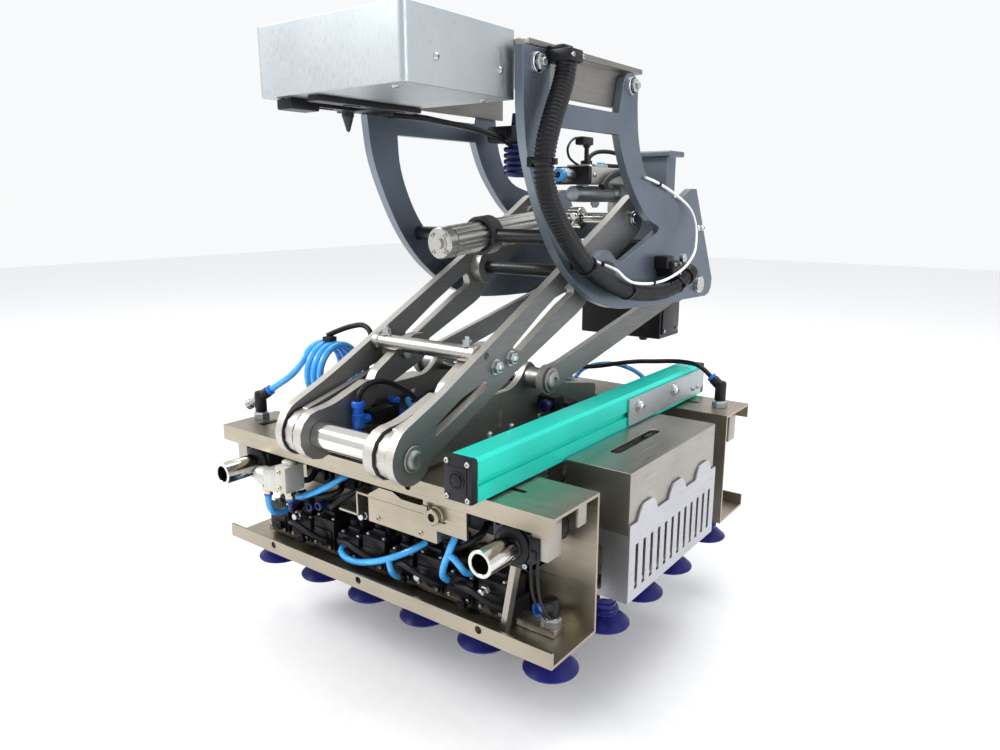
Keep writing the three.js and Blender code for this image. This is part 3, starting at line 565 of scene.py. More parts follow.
def on_coil(turns):
    """The coil's centreline after that many turns from its foremost point, going up."""
    angle = 2 * pi * turns
    reach = COIL["length"] / 2 - HOSE_RADIUS
    along = reach * (2 * turns / COIL["turns"] - 1)
    return at(*coil_point(along, COIL["radius"] * cos(angle), COIL["radius"] * sin(angle)))


def socket_way(turn, tilt):
    """Where an elbow's socket points: turned from +Y and tilted up."""
    return Vector((-sin(turn) * cos(tilt), cos(turn) * cos(tilt), sin(tilt)))


def supply_line():
    """From the inlet elbow into the coil, round it and straight on to the outlet elbow."""
    way = socket_way(INLET["turn"], INLET["tilt"])
    socket = at(*INLET["place"], FITTING_Z + INLET["height"]) + way * ELBOW_REACH * MM
    first, ahead = on_coil(COIL["start"]), on_coil(COIL["start"] + 0.02)
    pull = (first - socket).length * 0.4
    bends = (socket, socket + way * pull, first - (ahead - first).normalized() * pull, first)
    line = [bezier(bends, i / ENTRY_STEPS) for i in range(ENTRY_STEPS)]
    count = round((COIL["turns"] - COIL["start"]) * COIL["steps"])
    for i in range(count + 1):
        line.append(on_coil(COIL["start"] + (COIL["turns"] - COIL["start"]) * i / count))
    reach = COIL["length"] / 2 - HOSE_RADIUS
    for i in range(1, OUTLET_STEPS + 1):
        line.append(at(*coil_point(reach, OUTLET_RUN * i / OUTLET_STEPS, -COIL["radius"])))
    return line


def bezier(bends, t):
    p0, p1, p2, p3 = bends
    return p0 * (1 - t) ** 3 + p1 * 3 * t * (1 - t) ** 2 + p2 * 3 * t * t * (1 - t) + p3 * t ** 3


def build_supply_hose():
    line = supply_line()
    hose_piece = tube("supply_hose", line, HOSE_RADIUS, "blue", "front_carrier",
        ("supply_tube_in", "supply_coil", "supply_tube_out"), sides=5)
    length = sum((b - a).length for a, b in zip(line, line[1:]))
    print("supply hose length", round(length, 4))


build_supply_hose()


# --- CAD nodes that stay
def keep(node, look, bevel):
    """A CAD node keeps its shape and gets a finish, with its edges softened."""
    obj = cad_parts[node]
    obj.data.materials.clear()
    obj.data.materials.append(LOOKS[look])
    for polygon in obj.data.polygons:
        polygon.use_smooth = True
        polygon.material_index = 0
    weld = obj.modifiers.new("weld", "WELD")
    weld.merge_threshold = 1e-6
    if node not in MANY_HOLES:
        flat = obj.modifiers.new("flat_faces", "DECIMATE")
        flat.decimate_type = "DISSOLVE"
        flat.angle_limit = radians(1)
    add_bevel(obj, bevel)


def both_sides(*names):
    return [f"{name}_{side}" for name in names for side, _ in SIDES]


MANY_HOLES = both_sides("slotted_guard")
# The look, the width of the softened edges in millimetres, and the nodes.
KEPT = (
    ("aluminium", 0.5, ["spread_cylinder"]),
    ("aluminium", 0.6, ["robot_adapter_plate"]),
    ("aluminium", 0.8, ["cross_bar_front", "cross_bar_back"]),
    ("arm_steel", 0.6, both_sides("swing_arm", "arm_doubler", "rear_link")),
    ("black", 1.5, ["rear_valve_box"]),
    ("cheek_steel", 0.5, both_sides("cheek_plate")),
    ("cheek_steel", 0.8, ["head_channel"]),
    ("chrome", 0.3, ["front_spread_rod", "back_spread_rod"]),
    ("chrome", 0.4, ["link_shaft_upper", "cylinder_pin"]),
    ("dark_steel", 0.4, ["upper_pivot_shaft"]),
    # The trunnion yoke takes the dark black-oxide look as painted shade: it stands in for the shadow under
    # the cylinder barrel.
    ("dark_steel", 0.8, ["trunnion_yoke"]),
    ("guard_sheet", 0.4, MANY_HOLES),
    ("painted_steel", 0.8, both_sides("hanger_plate")),
    ("painted_steel", 1.6, ["rear_cross_block"]),
    ("stainless", 0.4, ["centre_plate"]),
    ("stainless", 0.5, ["front_carrier_frame", "back_carrier_frame"]),
    ("stainless_side", 0.5, both_sides("end_cover")),
    ("turquoise", 0.7, ["ejector_housing"]),
    ("zinc", 0.5, ["ejector_bracket"]),
    ("zinc", 0.8, ["head_box"]),
)
for kept_look, kept_bevel, kept_nodes in KEPT:
    for kept_node in kept_nodes:
        keep(kept_node, kept_look, kept_bevel)


# --- suction cups
CUP_PITCH = 80
CUP_COUNT = 6
CUP_ROWS = {
    "front_cup_row": ("front_carrier", "front_carrier_frame"),
    "back_cup_row": ("back_carrier", "back_carrier_frame"),
    "cup_row_front": ("base", "centre_plate"),
    "cup_row_middle": ("base", "centre_plate"),
    "cup_row_back": ("base", "centre_plate"),
}


def cup_profile(top):
    """From the middle of the hollow under the cup, round its lip and up its fluted neck to the plate."""
    return [(9, 0), (8.6, 8), (6.2, 15), (2.4, 22), (0.2, 25.6), (0.0, 26.6), (0.7, 27), (1.8, 26.8),
        (4.6, 23.6), (8.4, 19.4), (11.2, 15.4), (12.6, 13.6), (13.8, 13.4), (15.2, 14.6), (17.0, 15.0),
        (18.6, 14.2), (19.6, 12.6), (20.6, 12.0), (22.4, 12.2), (24.4, 12.0), (25.2, 10.8), (top, 10.4),
        (top, 0)]


def build_cup_rows():
    for node, (body, plate) in CUP_ROWS.items():
        y = centre_of(node)[1]
        plate_low = drawn_box(plate)[0].z
        floor = plate_low + (SHEET if "carrier" in plate else CENTRE_PLATE)
        cups, stems = meshes(2)
        neck = min(plate_low - 0.4, 30.0)
        for i in range(CUP_COUNT):
            x = (i - (CUP_COUNT - 1) / 2) * CUP_PITCH
            lathe(cups, at(x, y, 0), Z, cup_profile(neck), 40)
            if plate_low - neck > 2:
                hexagon(stems, at(x, y, neck), Z, 17, 6)
                rod(stems, at(x, y, neck + 5.9), at(x, y, plate_low - 0.2), 6.5, 24)
            rod(stems, at(x, y, plate_low - 4), at(x, y, floor + 7), 5.5, 24)
        rail = bmesh.new()
        half = CUP_PITCH * (CUP_COUNT - 1) / 2 + 9
        block(rail, (-half, y - 9, floor + GAP), (half, y + 9, floor + 8), 1)
        piece(f"{node}_cups", cups, "navy", body, (node,))
        piece(f"{node}_stems", stems, "steel_screw", body)
        piece(f"{node}_rail", rail, "aluminium", body)


build_cup_rows()


# --- shafts, rods and the air cylinder
def build_guide_rods():
    for side, _ in SIDES:
        low, high = drawn_box(f"guide_rod_{side}")
        x, _, z = centre_of(f"guide_rod_{side}")
        bm = bmesh.new()
        pipe(bm, at(x, low.y, z), at(x, high.y, z), 12.5, 9)
        piece(f"guide_rod_{side}_tube", bm, "chrome", "base", (f"guide_rod_{side}",))


def build_lower_pivot():
    _, y, z = centre_of("lower_pivot_shaft")
    bm, heads, rings = meshes(3)
    solid(bm, at(-43.7, y, z), X, [(0, 13), (1, 14), (86.4, 14), (87.4, 13)], 48)
    for sign in (1, -1):
        way = X * sign
        solid(bm, at(43 * sign, y, z), way, [(0, 9), (40, 9)], 40)
        solid(heads, at(83.3 * sign, y, z), way, [(0, 12.4), (0.6, 13), (2, 13), (2.6, 12.4), (2.6, 9.4),
            (4.6, 8.8), (5.6, 7.6), (6, 5), (3.6, 4.6)], 40)
        for x in (57.5, 71.6):
            lathe(rings, at(x * sign, y, z), way, [(0, 10), (0, 24.6), (0.9, 24.6), (0.9, 10)], 48)
    piece("lower_pivot_bar", bm, "chrome", "base", ("lower_pivot_shaft",))
    piece("lower_pivot_heads", heads, "head_steel", "base")
    piece("lower_pivot_seals", rings, "black_rubber", "base")


def build_link_shaft():
    _, y, z = centre_of("link_shaft_lower")
    bm, heads = meshes(2)
    rod(bm, at(-90, y, z), at(90, y, z), 8)
    for sign in (1, -1):
        start = at(68.3 * sign, y, z)
        lathe(heads, start, X * sign, [(0, 8), (0, 12), (19.4, 12), (19.4, 7.8), (28, 7.8), (28, 14),
            (30.4, 14), (30.8, 11), (33.4, 10.2), (34.4, 8), (34.7, 4.4), (32.6, 4), (32.6, 0), (21, 0),
            (20, 8)], 40)
    piece("link_shaft_bar", bm, "chrome", "base", ("link_shaft_lower",))
    piece("link_shaft_heads", heads, "head_steel", "base")


def build_stretcher():
    _, y, z = centre_of("stretcher_bar")
    bm = bmesh.new()
    solid(bm, at(-72.6, y, z), X, [(0, 9.6), (1, 10.5), (7, 10.5), (8.4, 8.5), (136.8, 8.5), (138.2, 10.5),
        (144.2, 10.5), (145.2, 9.6)], 44)
    piece("stretcher_rod", bm, "aluminium", "arms", ("stretcher_bar",))
    screws = bmesh.new()
    for sign in (1, -1):
        spot = at(58 * sign, y, z + 8)
        washer(screws, spot, Z, 6)
        hexagon(screws, spot + Z * WASHER * MM, Z, 9, 5)
        rod(screws, spot + Z * 6 * MM, spot + Z * 10 * MM, 2.6, 16)
    piece("stretcher_screws", screws, "steel_screw", "arms")


DOUBLER_BOLTS = ((-114, 264), (-88, 269))
DOUBLER_OUTER = 83.1
ARM_INNER = 43.9


def build_arm_bolts():
    for side, sign in SIDES:
        bm = bmesh.new()
        for y, z in DOUBLER_BOLTS:
            spot = at(DOUBLER_OUTER * sign, y, z)
            washer(bm, spot, X * sign, 8.4)
            hexagon(bm, spot + X * sign * WASHER * MM, X * sign, 12, 5)
            lathe(bm, spot + X * sign * 6.4 * MM, X * sign, [(0, 0), (0, 4.6), (1.4, 4.0), (2.4, 2.4),
                (2.8, 0)], 20)
            hexagon(bm, at(ARM_INNER * sign, y, z), X * -sign, 12, 5)
        piece(f"doubler_bolts_{side}", bm, "steel_screw", "arms")


CYLINDER = {"trunnion": (-25, 392), "pin": (178, 408), "r": 17, "front": -78, "back": 140}


def cylinder_axis():
    (y0, z0), (y1, z1) = CYLINDER["trunnion"], CYLINDER["pin"]
    start = at(0, y0, z0)
    end = at(0, y1, z1)
    return start, (end - start).normalized(), (end - start).length / MM


def extrude_along(bm, start, axis, up, profile, first, last):
    """A profile square to the axis, drawn out from first to last along it."""
    side = axis.cross(up)
    rings = [[bm.verts.new(start + axis * w * MM + (side * u + up * v) * MM) for u, v in profile]
             for w in (first, last)]
    skin(bm, rings)


def ribbed_profile(radius, ribs=12, depth=1.7):
    """Rounded ribs round a tube, with narrow grooves between them."""
    profile = []
    for i in range(ribs * 12):
        angle = 2 * pi * i / (ribs * 12)
        groove = max(0.0, cos(ribs * angle)) ** 3
        profile.append(((radius - depth * groove) * cos(angle), (radius - depth * groove) * sin(angle)))
    return profile


def build_cylinder():
    start, axis, reach = cylinder_axis()
    r, front, back = CYLINDER["r"], CYLINDER["front"], CYLINDER["back"]
    up = X.cross(axis)
    barrel = bmesh.new()
    extrude_along(barrel, start, axis, up, ribbed_profile(r), front + 14, back - 16)
    piece("cylinder_tube", barrel, "aluminium", "cylinder", ("cylinder_barrel",), angle=50)
    ends = bmesh.new()
    base = start + axis * front * MM
    solid(ends, base, axis, [(-4, 6), (-1, 6), (-1, 10), (0, 10), (0, 15.6), (1.2, r), (12.6, r),
        (13.7, 16)], 48)
    nose = start + axis * (back - 16) * MM
    solid(ends, nose, axis, [(0.1, 16), (1.2, r), (14.6, r), (15.9, 15.8), (15.9, 10), (15, 9)], 48)
    for i in range(4):
        angle = pi / 4 + i * pi / 2
        offset = (X * cos(angle) + up * sin(angle)) * 12.5 * MM
        socket_head(ends, base + offset, -axis, 2.4, 2)
    piece("cylinder_heads", ends, "aluminium", "cylinder", ("cylinder_end_cap",))
    rod_bm = bmesh.new()
    rod(rod_bm, start + axis * 70 * MM, start + axis * (reach - 20) * MM, 6, 32)
    eye = start + axis * reach * MM
    lathe(rod_bm, eye - X * 9 * MM, X, [(0, 8), (0, 13), (1, 14), (17, 14), (18, 13), (18, 8)], 40)
    solid(rod_bm, start + axis * (reach - 24) * MM, axis, [(0, 8), (2, 9), (11, 9), (12, 8)], 6)
    piece("piston_rod_eye", rod_bm, "chrome", "rod", ("piston_rod",))


build_guide_rods()
build_lower_pivot()
build_link_shaft()
build_stretcher()
build_arm_bolts()
build_cylinder()


# --- elbows and fittings
def build_elbow(name, place, turn, height, body, replaces=(), tilt=0.0, plug=False):
    """A push-in elbow standing on a point of the drawing, its socket turned from +Y and tilted up.
    With plug it has a nickel end behind as well."""
    x, y, z = place
    shell, nickel, collar = meshes(3)
    direction = socket_way(turn, tilt)
    hexagon(nickel, at(x, y, z), Z, 17, 7.6)
    rod(nickel, at(x, y, z + 7), at(x, y, z + 10), 6.4, 24)
    lathe(shell, at(x, y, z + 8.5), Z, [(0, 0), (0, 6.6), (1, 7), (height - 4, 7), (height - 1.6, 6),
        (height - 0.8, 4), (height - 0.5, 0)], 32)
    top = at(x, y, z + height)
    solid(shell, top, direction, [(-4, 4), (-2, 6.2), (0, 6.5), (ELBOW_REACH - 5, 6.5),
        (ELBOW_REACH - 4, 6)], 32)
    lathe(collar, top + direction * (ELBOW_REACH - 4.2) * MM, direction, [(0, 3), (0, 5.6), (1.6, 5.6),
        (1.8, 6.3), (4.0, 6.3), (4.2, 5.8), (4.2, 4.1), (0, 4.1)], 28)
    if plug:
        solid(nickel, top - direction * 5 * MM, -direction, [(0, 5), (9, 5), (10, 6.4), (15, 6.4),
            (16, 5.4)], 28)
    piece(f"{name}_shell", shell, "black", body, replaces)
    piece(f"{name}_hex", nickel, "steel_screw", body)
    piece(f"{name}_ring", collar, "blue_ring", body)


build_elbow("inlet_elbow", (*INLET["place"], FITTING_Z), INLET["turn"], INLET["height"], "front_carrier",
            ("inlet_elbow",), INLET["tilt"], True)
build_elbow("outlet_elbow", (-126.8, -184.9, FITTING_Z), radians(8), 26, "front_carrier",
            ("outlet_elbow",))
build_elbow("corner_elbow", (200, -182, 44.8), radians(160), 20, "front_carrier", ("corner_elbow",))

# --- head
HANGER_OUTER = drawn_box("hanger_plate_right")[1].x
ON_HANGER = HANGER_OUTER + 0.2
CONDUIT_X = HANGER_OUTER + 17.6
CONDUIT = [(-57, 563), (-61, 547), (-69, 530), (-81, 508), (-91, 484), (-95, 462), (-90, 441), (-77, 420),
           (-55, 397), (-18, 367), (32, 343), (93, 326), (161, 318), (214, 320), (258, 334)]
CONDUIT_TIES = (0.20, 0.47, 0.66, 0.93)
CONDUIT_RADIUS = 10.6
RIB_STEP = 1.05
RIB_DEPTH = 1.2
SENSOR_CABLE = [(3, 150, 458), (3, 190, 451), (3, 240, 438), (6, 280, 421), (12, 288, 402), (20, 276, 382),
    (28, 252, 362), (31.2, 216, 346), (31.2, 172, 336), (30.6, 128, 333), (30.6, 81, 337), (30.6, 56, 344),
    (25, 44, 354), (12, 34, 361), (4, 22, 366)]
CLIPPED_POINTS = (1, 9, 13)


def build_conduit():
    line = smooth_line([at(CONDUIT_X, y, z) for y, z in CONDUIT])
    fine = even_line(line, RIB_STEP)
    bm = bmesh.new()
    r = CONDUIT_RADIUS
    sweep(bm, fine, (r, r, r - RIB_DEPTH, r - RIB_DEPTH), 24)
    piece("conduit_tube", bm, "black", "head", ("hanger_conduit",), angle=50)
    ties = bmesh.new()
    for share in CONDUIT_TIES:
        i = int(share * (len(fine) - 1))
        spot, axis = fine[i], (fine[i + 1] - fine[i - 1]).normalized()
        lathe(ties, spot - axis * 1.8 * MM, axis, [(0, r - 0.6), (0, r + 0.9), (0.5, r + 1.2),
            (3.1, r + 1.2), (3.6, r + 0.9), (3.6, r - 0.6)], 36)
        centre = drawn(spot)
        block(ties, (ON_HANGER, centre.y - 5, centre.z - 5), (HANGER_OUTER + 7, centre.y + 5, centre.z + 5),
            1.5)
        block(ties, (centre.x + r - 1, centre.y - 3, centre.z - 3),
            (centre.x + r + 3.4, centre.y + 3, centre.z + 3), 0.8)
    piece("conduit_ties", ties, "black_rubber", "head")
    glands = bmesh.new()
    y, z = CONDUIT[0]
    block(glands, (ON_HANGER, y - 13, z - 3), (CONDUIT_X + 12, y + 13, z + 10), 4)
    block(glands, (ON_HANGER, y - 9, z + 8), (CONDUIT_X + 2, y + 9, z + 14), 2)
    spot, axis = fine[-1], (fine[-1] - fine[-7]).normalized()
    lathe(glands, spot - axis * 10 * MM, axis, [(0, r - 1), (0, r + 2), (2, r + 3), (14, r + 3),
        (16, r + 1), (20, r - 1), (20, 6), (14, 6)], 36)
    piece("conduit_glands", glands, "black", "head")
    bm = bmesh.new()
    for dy in (-9, 9):
        socket_head(bm, at(CONDUIT_X + 11.9, y + dy, z + 3), X, 2.2, 1.8)
    piece("conduit_gland_screws", bm, "steel_screw", "head")


def build_connector():
    """The plug over the conduit's lower end, screwed to the hanger, with two push-in stubs."""
    y, z = 200, 342
    shell = bmesh.new()
    block(shell, (ON_HANGER, y - 2, z - 8), (CONDUIT_X + 6, y + 24, z + 12), 3)
    block(shell, (ON_HANGER, y - 10, z + 2), (CONDUIT_X + 1, y + 12, z + 19), 2.5)
    for step in (0, 11):
        rod(shell, at(CONDUIT_X - 9 + step, y + 22, z + 2), at(CONDUIT_X - 9 + step, y + 36, z + 5), 4.4,
            24)
    piece("conduit_plug", shell, "black", "head")
    screws = bmesh.new()
    for dy, dz in ((3, -4), (19, -4), (3, 8), (19, 8)):
        socket_head(screws, at(CONDUIT_X + 5.9, y + dy, z + dz), X, 2.2, 2)
    for x, dy, dz in ((-8.6, 44, 2), (3, 40, 14)):
        solid(screws, at(CONDUIT_X + x, y + dy, z + dz), X, [(-5, 6), (0, 6), (1, 5)], 24)
    piece("conduit_plug_screws", screws, "steel_screw", "head")


def build_sensor_cable():
    """The thin white cable, with its first number measured out from the right hanger, and three clips."""
    route = [(HANGER_OUTER + out, y, z) for out, y, z in SENSOR_CABLE]
    hose("sensor_cable_wire", route, 1.7, "white", "head", ("sensor_cable",))
    clips = bmesh.new()
    for i in CLIPPED_POINTS:
        x, y, z = route[i]
        block(clips, (x - 2.8, y - 2.4, z - 3), (x + 2.8, y + 2.4, z + 3), 1)
    piece("sensor_cable_clips", clips, "black", "head")


def build_head_bolts():
    low, high = drawn_box("head_box")
    for side, sign in SIDES:
        bm = bmesh.new()
        for y in (-84, 110):
            spot = at(HANGER_OUTER * sign, y, 559)
            washer(bm, spot, X * sign, 10.5)
            lathe(bm, spot + X * sign * WASHER * MM, X * sign, [(0, 0), (0, 9.6), (1.4, 9.6), (2, 8.6)], 32)
            hexagon(bm, spot + X * sign * WASHER * MM, X * sign, 14, 6.4)
            rod(bm, spot + X * sign * 7 * MM, spot + X * sign * 11 * MM, 4, 20)
        for y, z in ((-210, 549), (-120, 549)):
            bolt(bm, (high.x * sign, y, z), X * sign, 3.6, 2.6)
        for y, z in ((330, 392), (343, 392)):
            bolt(bm, (HANGER_OUTER * sign, y, z), X * sign, 4.4, 3.2)
        piece(f"head_bolts_{side}", bm, "steel_screw", "head")
    bm = bmesh.new()
    for x in (-70, 70):
        for y in (-235, -115):
            bolt(bm, (x, y, low.z), -Z, 3.4, 2.2)
            bolt(bm, (x, y, high.z), Z, 3.4, 2.2)
    piece("head_box_screws", bm, "steel_screw", "head")


def build_sensor_rails():
    top = drawn_box("sensor_rails")[1].z
    rails = bmesh.new()
    for x in (-80, -40):
        block(rails, (x, -238, top - 5), (x + 16, -100, top), 0.8)
        for y in (-190, -128):
            block(rails, (x + 5, y - 9, top - 5.8), (x + 11, y + 9, top - 4.6), 0.5)
    block(rails, (-90, -158, top - 5.4), (-39, -142, top - 0.2), 0.8)
    block(rails, (-82, -240, top - 10), (-60, -206, top), 2)
    piece("sensor_rail_strips", rails, "black", "head", ("sensor_rails",))
    cone = bmesh.new()
    solid(cone, at(-82, -150, top - 5), -Z, [(0, 6.4), (4, 6.4), (4.6, 5.8), (17, 2.2), (19, 1.2)], 32)
    piece("level_sensor", cone, "dark_steel", "head")
    hose("sensor_lead", [(-72, -104, 521), (-66, -86, 521), (-60, -60, 520.6), (-60, -30, 519),
        (-60, 34, 515), (-60, 84, 508), (-60, 112, 500)], 3.6, "black", "head")


def build_coiled_air_line():
    """The dark blue spiral air line that hangs between the hangers, from the channel to the air unit."""
    centre, radius, turns = Vector((-62, 122, 0)), 12, 5
    top, bottom, steps = 502, 464, 24
    line = [at(-62, 121, 540), at(-62, 118, 522)]
    for i in range(turns * steps + 1):
        angle = 2 * pi * i / steps - pi / 2
        z = top + (bottom - top) * i / (turns * steps)
        line.append(at(centre.x + radius * cos(angle), centre.y + radius * sin(angle), z))
    tail = smooth_line([line[-1], at(-52, 111, 463), at(-38, 116, 463), at(-22, 130, 464),
        at(-8, 145, 463)], 6)
    tube("coiled_air_line", line + tail[1:], 3.4, "navy_block", "head")


def build_air_unit():
    body = bmesh.new()
    block(body, (-34, 182, 452), (20, 310, 474), 5)
    block(body, (-20, 296, 412.4), (6, 340, 456), 3)
    block(body, (-30, 196, 473), (16, 232, 478), 1.5)
    piece("air_unit_body", body, "cast_grey", "head", ("air_unit",))
    tank = bmesh.new()
    solid(tank, at(-7, 176, 439), Y, [(0, 8), (1.5, 10.4), (20, 11), (96, 11), (97.5, 10), (104, 10),
        (106, 11.4), (118, 11.4), (119.5, 10)], 44)
    for y in (196, 268):
        block(tank, (-13, y, 446), (-1, y + 14, 455), 1.5)
    piece("air_unit_tank", tank, "zinc", "head")
    caps = bmesh.new()
    block(caps, (-33, 175, 451.2), (19, 183.5, 474.8), 2)
    block(caps, (-33, 308, 451.2), (19, 316, 474.8), 2)
    block(caps, (-24, 244, 473.6), (10, 296, 480), 2)
    solid(caps, at(-7, 212, 478), Z, [(0, 8), (5, 8), (6, 3.2), (22, 3.2), (23, 5), (26, 5)], 28)
    block(caps, (-14, 192, 503), (0, 219, 514), 2.5)
    piece("air_unit_caps", caps, "black", "head")
    neck = bmesh.new()
    lathe(neck, at(-8, 175.2, 463), -Y, [(0, 4.2), (0, 8), (12, 8), (12, 9.4), (20, 9.4), (24, 8.2),
        (24, 4.2)], 32)
    solid(neck, at(-7, 238, 428.5), -Z, [(0, 6), (5, 6), (5.4, 4), (8, 4)], 24)
    for y in (190, 302):
        for x in (-26, 12):
            bolt(neck, (x, y, 474), Z, 3.4, 2.6)
    for y in (188, 226, 300):
        bolt(neck, (20, y, 463), X, 3.4, 2.4)
    piece("air_unit_neck", neck, "steel_screw", "head")
    collar = bmesh.new()
    lathe(collar, at(-8, 152.4, 463), -Y, [(0, 4.1), (0, 8), (1, 8.6), (10, 8.6), (11, 7.6), (11, 4.1)], 28)
    for x in (-18, 2):
        lathe(collar, at(x, 236, 478), Z, [(0, 3), (0, 5.6), (3, 5.6), (3.6, 4.8), (3.6, 3)], 24)
    piece("air_unit_rings", collar, "blue", "head")
    hose("air_unit_lead", [(-7, 194, 510), (-7, 182, 511), (-6, 168, 505), (-5, 160, 496), (-5, 164, 486),
        (-6, 178, 480), (-7, 190, 477)], 1.6, "black", "head")
    hose("air_unit_line", [(-18, 236, 481), (-18, 240, 490), (-14, 256, 497), (-6, 284, 497), (0, 312, 490),
        (2, 326, 474), (2, 330, 456)], 3, "black", "head")
    hose("air_unit_loop", [(27, 196, 448), (28, 214, 461), (30, 244, 468), (32, 276, 464), (34, 306, 450),
        (34, 326, 432)], 5, "black", "head")
    box = bmesh.new()
    block(box, (-86, 92, 503), (-46, 126, 523), 3)
    block(box, (-80, 88, 508), (-52, 94, 519), 1.5)
    piece("line_junction", box, "black", "head")


def build_rear_box():
    """Cover, cooling ribs, screws and cable glands of the valve box behind the links."""
    low, high = drawn_box("rear_valve_box")
    middle_x = (low.x + high.x) / 2
    bm, screws = meshes(2)
    block(bm, (low.x + 5, high.y - 1, low.z + 5), (high.x - 5, high.y + 2.4, high.z - 5), 1.6)
    for i in range(7):
        z = low.z + 16 + i * 6
        block(bm, (middle_x - 30, high.y + 2, z), (middle_x + 30, high.y + 4.6, z + 3), 0.8)
    for sign in (1, -1):
        face = high.x if sign > 0 else low.x
        block(bm, (face - sign, low.y + 6, low.z + 6), (face + sign * 2, high.y - 6, high.z - 8), 1.4)
        solid(bm, at(middle_x + 24 * sign, (low.y + high.y) / 2, low.z + 0.5), -Z,
              [(0, 8), (4, 8), (4, 6.6), (8, 6.6), (10, 5)], 28)
    piece("rear_box_covers", bm, "black", "head")
    for x in (low.x + 10, high.x - 10):
        for z in (low.z + 10, high.z - 10):
            socket_head(screws, at(x, high.y + 2.2, z), Y, 3, 2.4)
    for y in (low.y + 11, high.y - 11):
        for z in (low.z + 11, high.z - 13):
            socket_head(screws, at(high.x + 1.8, y, z), X, 2.6, 2)
            socket_head(screws, at(low.x - 1.8, y, z), -X, 2.6, 2)
    piece("rear_box_screws", screws, "steel_screw", "head")


build_conduit()
build_connector()
build_rear_box()
build_sensor_cable()
build_head_bolts()
build_sensor_rails()
build_coiled_air_line()
build_air_unit()


# --- ejector, covers and base
def build_ejector_ends():
    caps, screws, ports = meshes(3)
    for node, sign in (("ejector_cap_front", -1), ("ejector_cap_back", 1)):
        low, high = drawn_box(node)
        block(caps, low, high, 1.4)
        face = low.y if sign < 0 else high.y
        block(caps, (low.x + 5, face - sign, low.z + 8), (high.x - 5, face + sign * 0.9, high.z - 8), 0.6)
        centre = at((low.x + high.x) / 2, face + sign * 0.8, (low.z + high.z) / 2)
        hexagon(ports, centre, Y * sign, 11, 1.6)
        lathe(ports, centre, Y * sign, [(0, 6.8), (0, 8.4), (0.9, 8.4), (0.9, 6.8)], 28)
        for x in (low.x + 4, high.x - 4):
            for z in (low.z + 4, high.z - 4):
                socket_head(screws, at(x, face - sign * 0.2, z), Y * sign, 2.5, 1.8)
    piece("ejector_cap_shells", caps, "black", "base", ("ejector_cap_front", "ejector_cap_back"))
    piece("ejector_cap_ports", ports, "black_rubber", "base")
    piece("ejector_cap_screws", screws, "steel_screw", "base")


def build_base_bolts():
    bm = bmesh.new()
    face = drawn_box("ejector_bracket")[1].x
    for y in (52, 147):
        bolt(bm, (face, y, 200), X, 6.4, 4.4, 8.6)
    for y in (205, 222):
        bolt(bm, (face, y, 190), X, 3.4, 2.4)
    for sign in (1, -1):
        for y, z in ((-104, 186), (-64, 186), (-8, 186), (72, 168), (-60, 160), (30, 160)):
            bolt(bm, (CHEEK_OUTER * sign, y, z), X * sign, 4.2, 3)
    piece("base_bolts", bm, "steel_screw", "base")
    seals = bmesh.new()
    for sign in (1, -1):
        for y, way in ((COVER_FRONT, -1), (COVER_BACK, 1)):
            lathe(seals, at(ROD_X * sign, y - way * 2, ROD_Z), Y * way, [(0, 12.8), (0, 15.6), (2.2, 15.6),
                (2.2, 18.4), (5, 17.8), (5, 12.8)], 44)
    piece("rod_seals", seals, "black_rubber", "base")


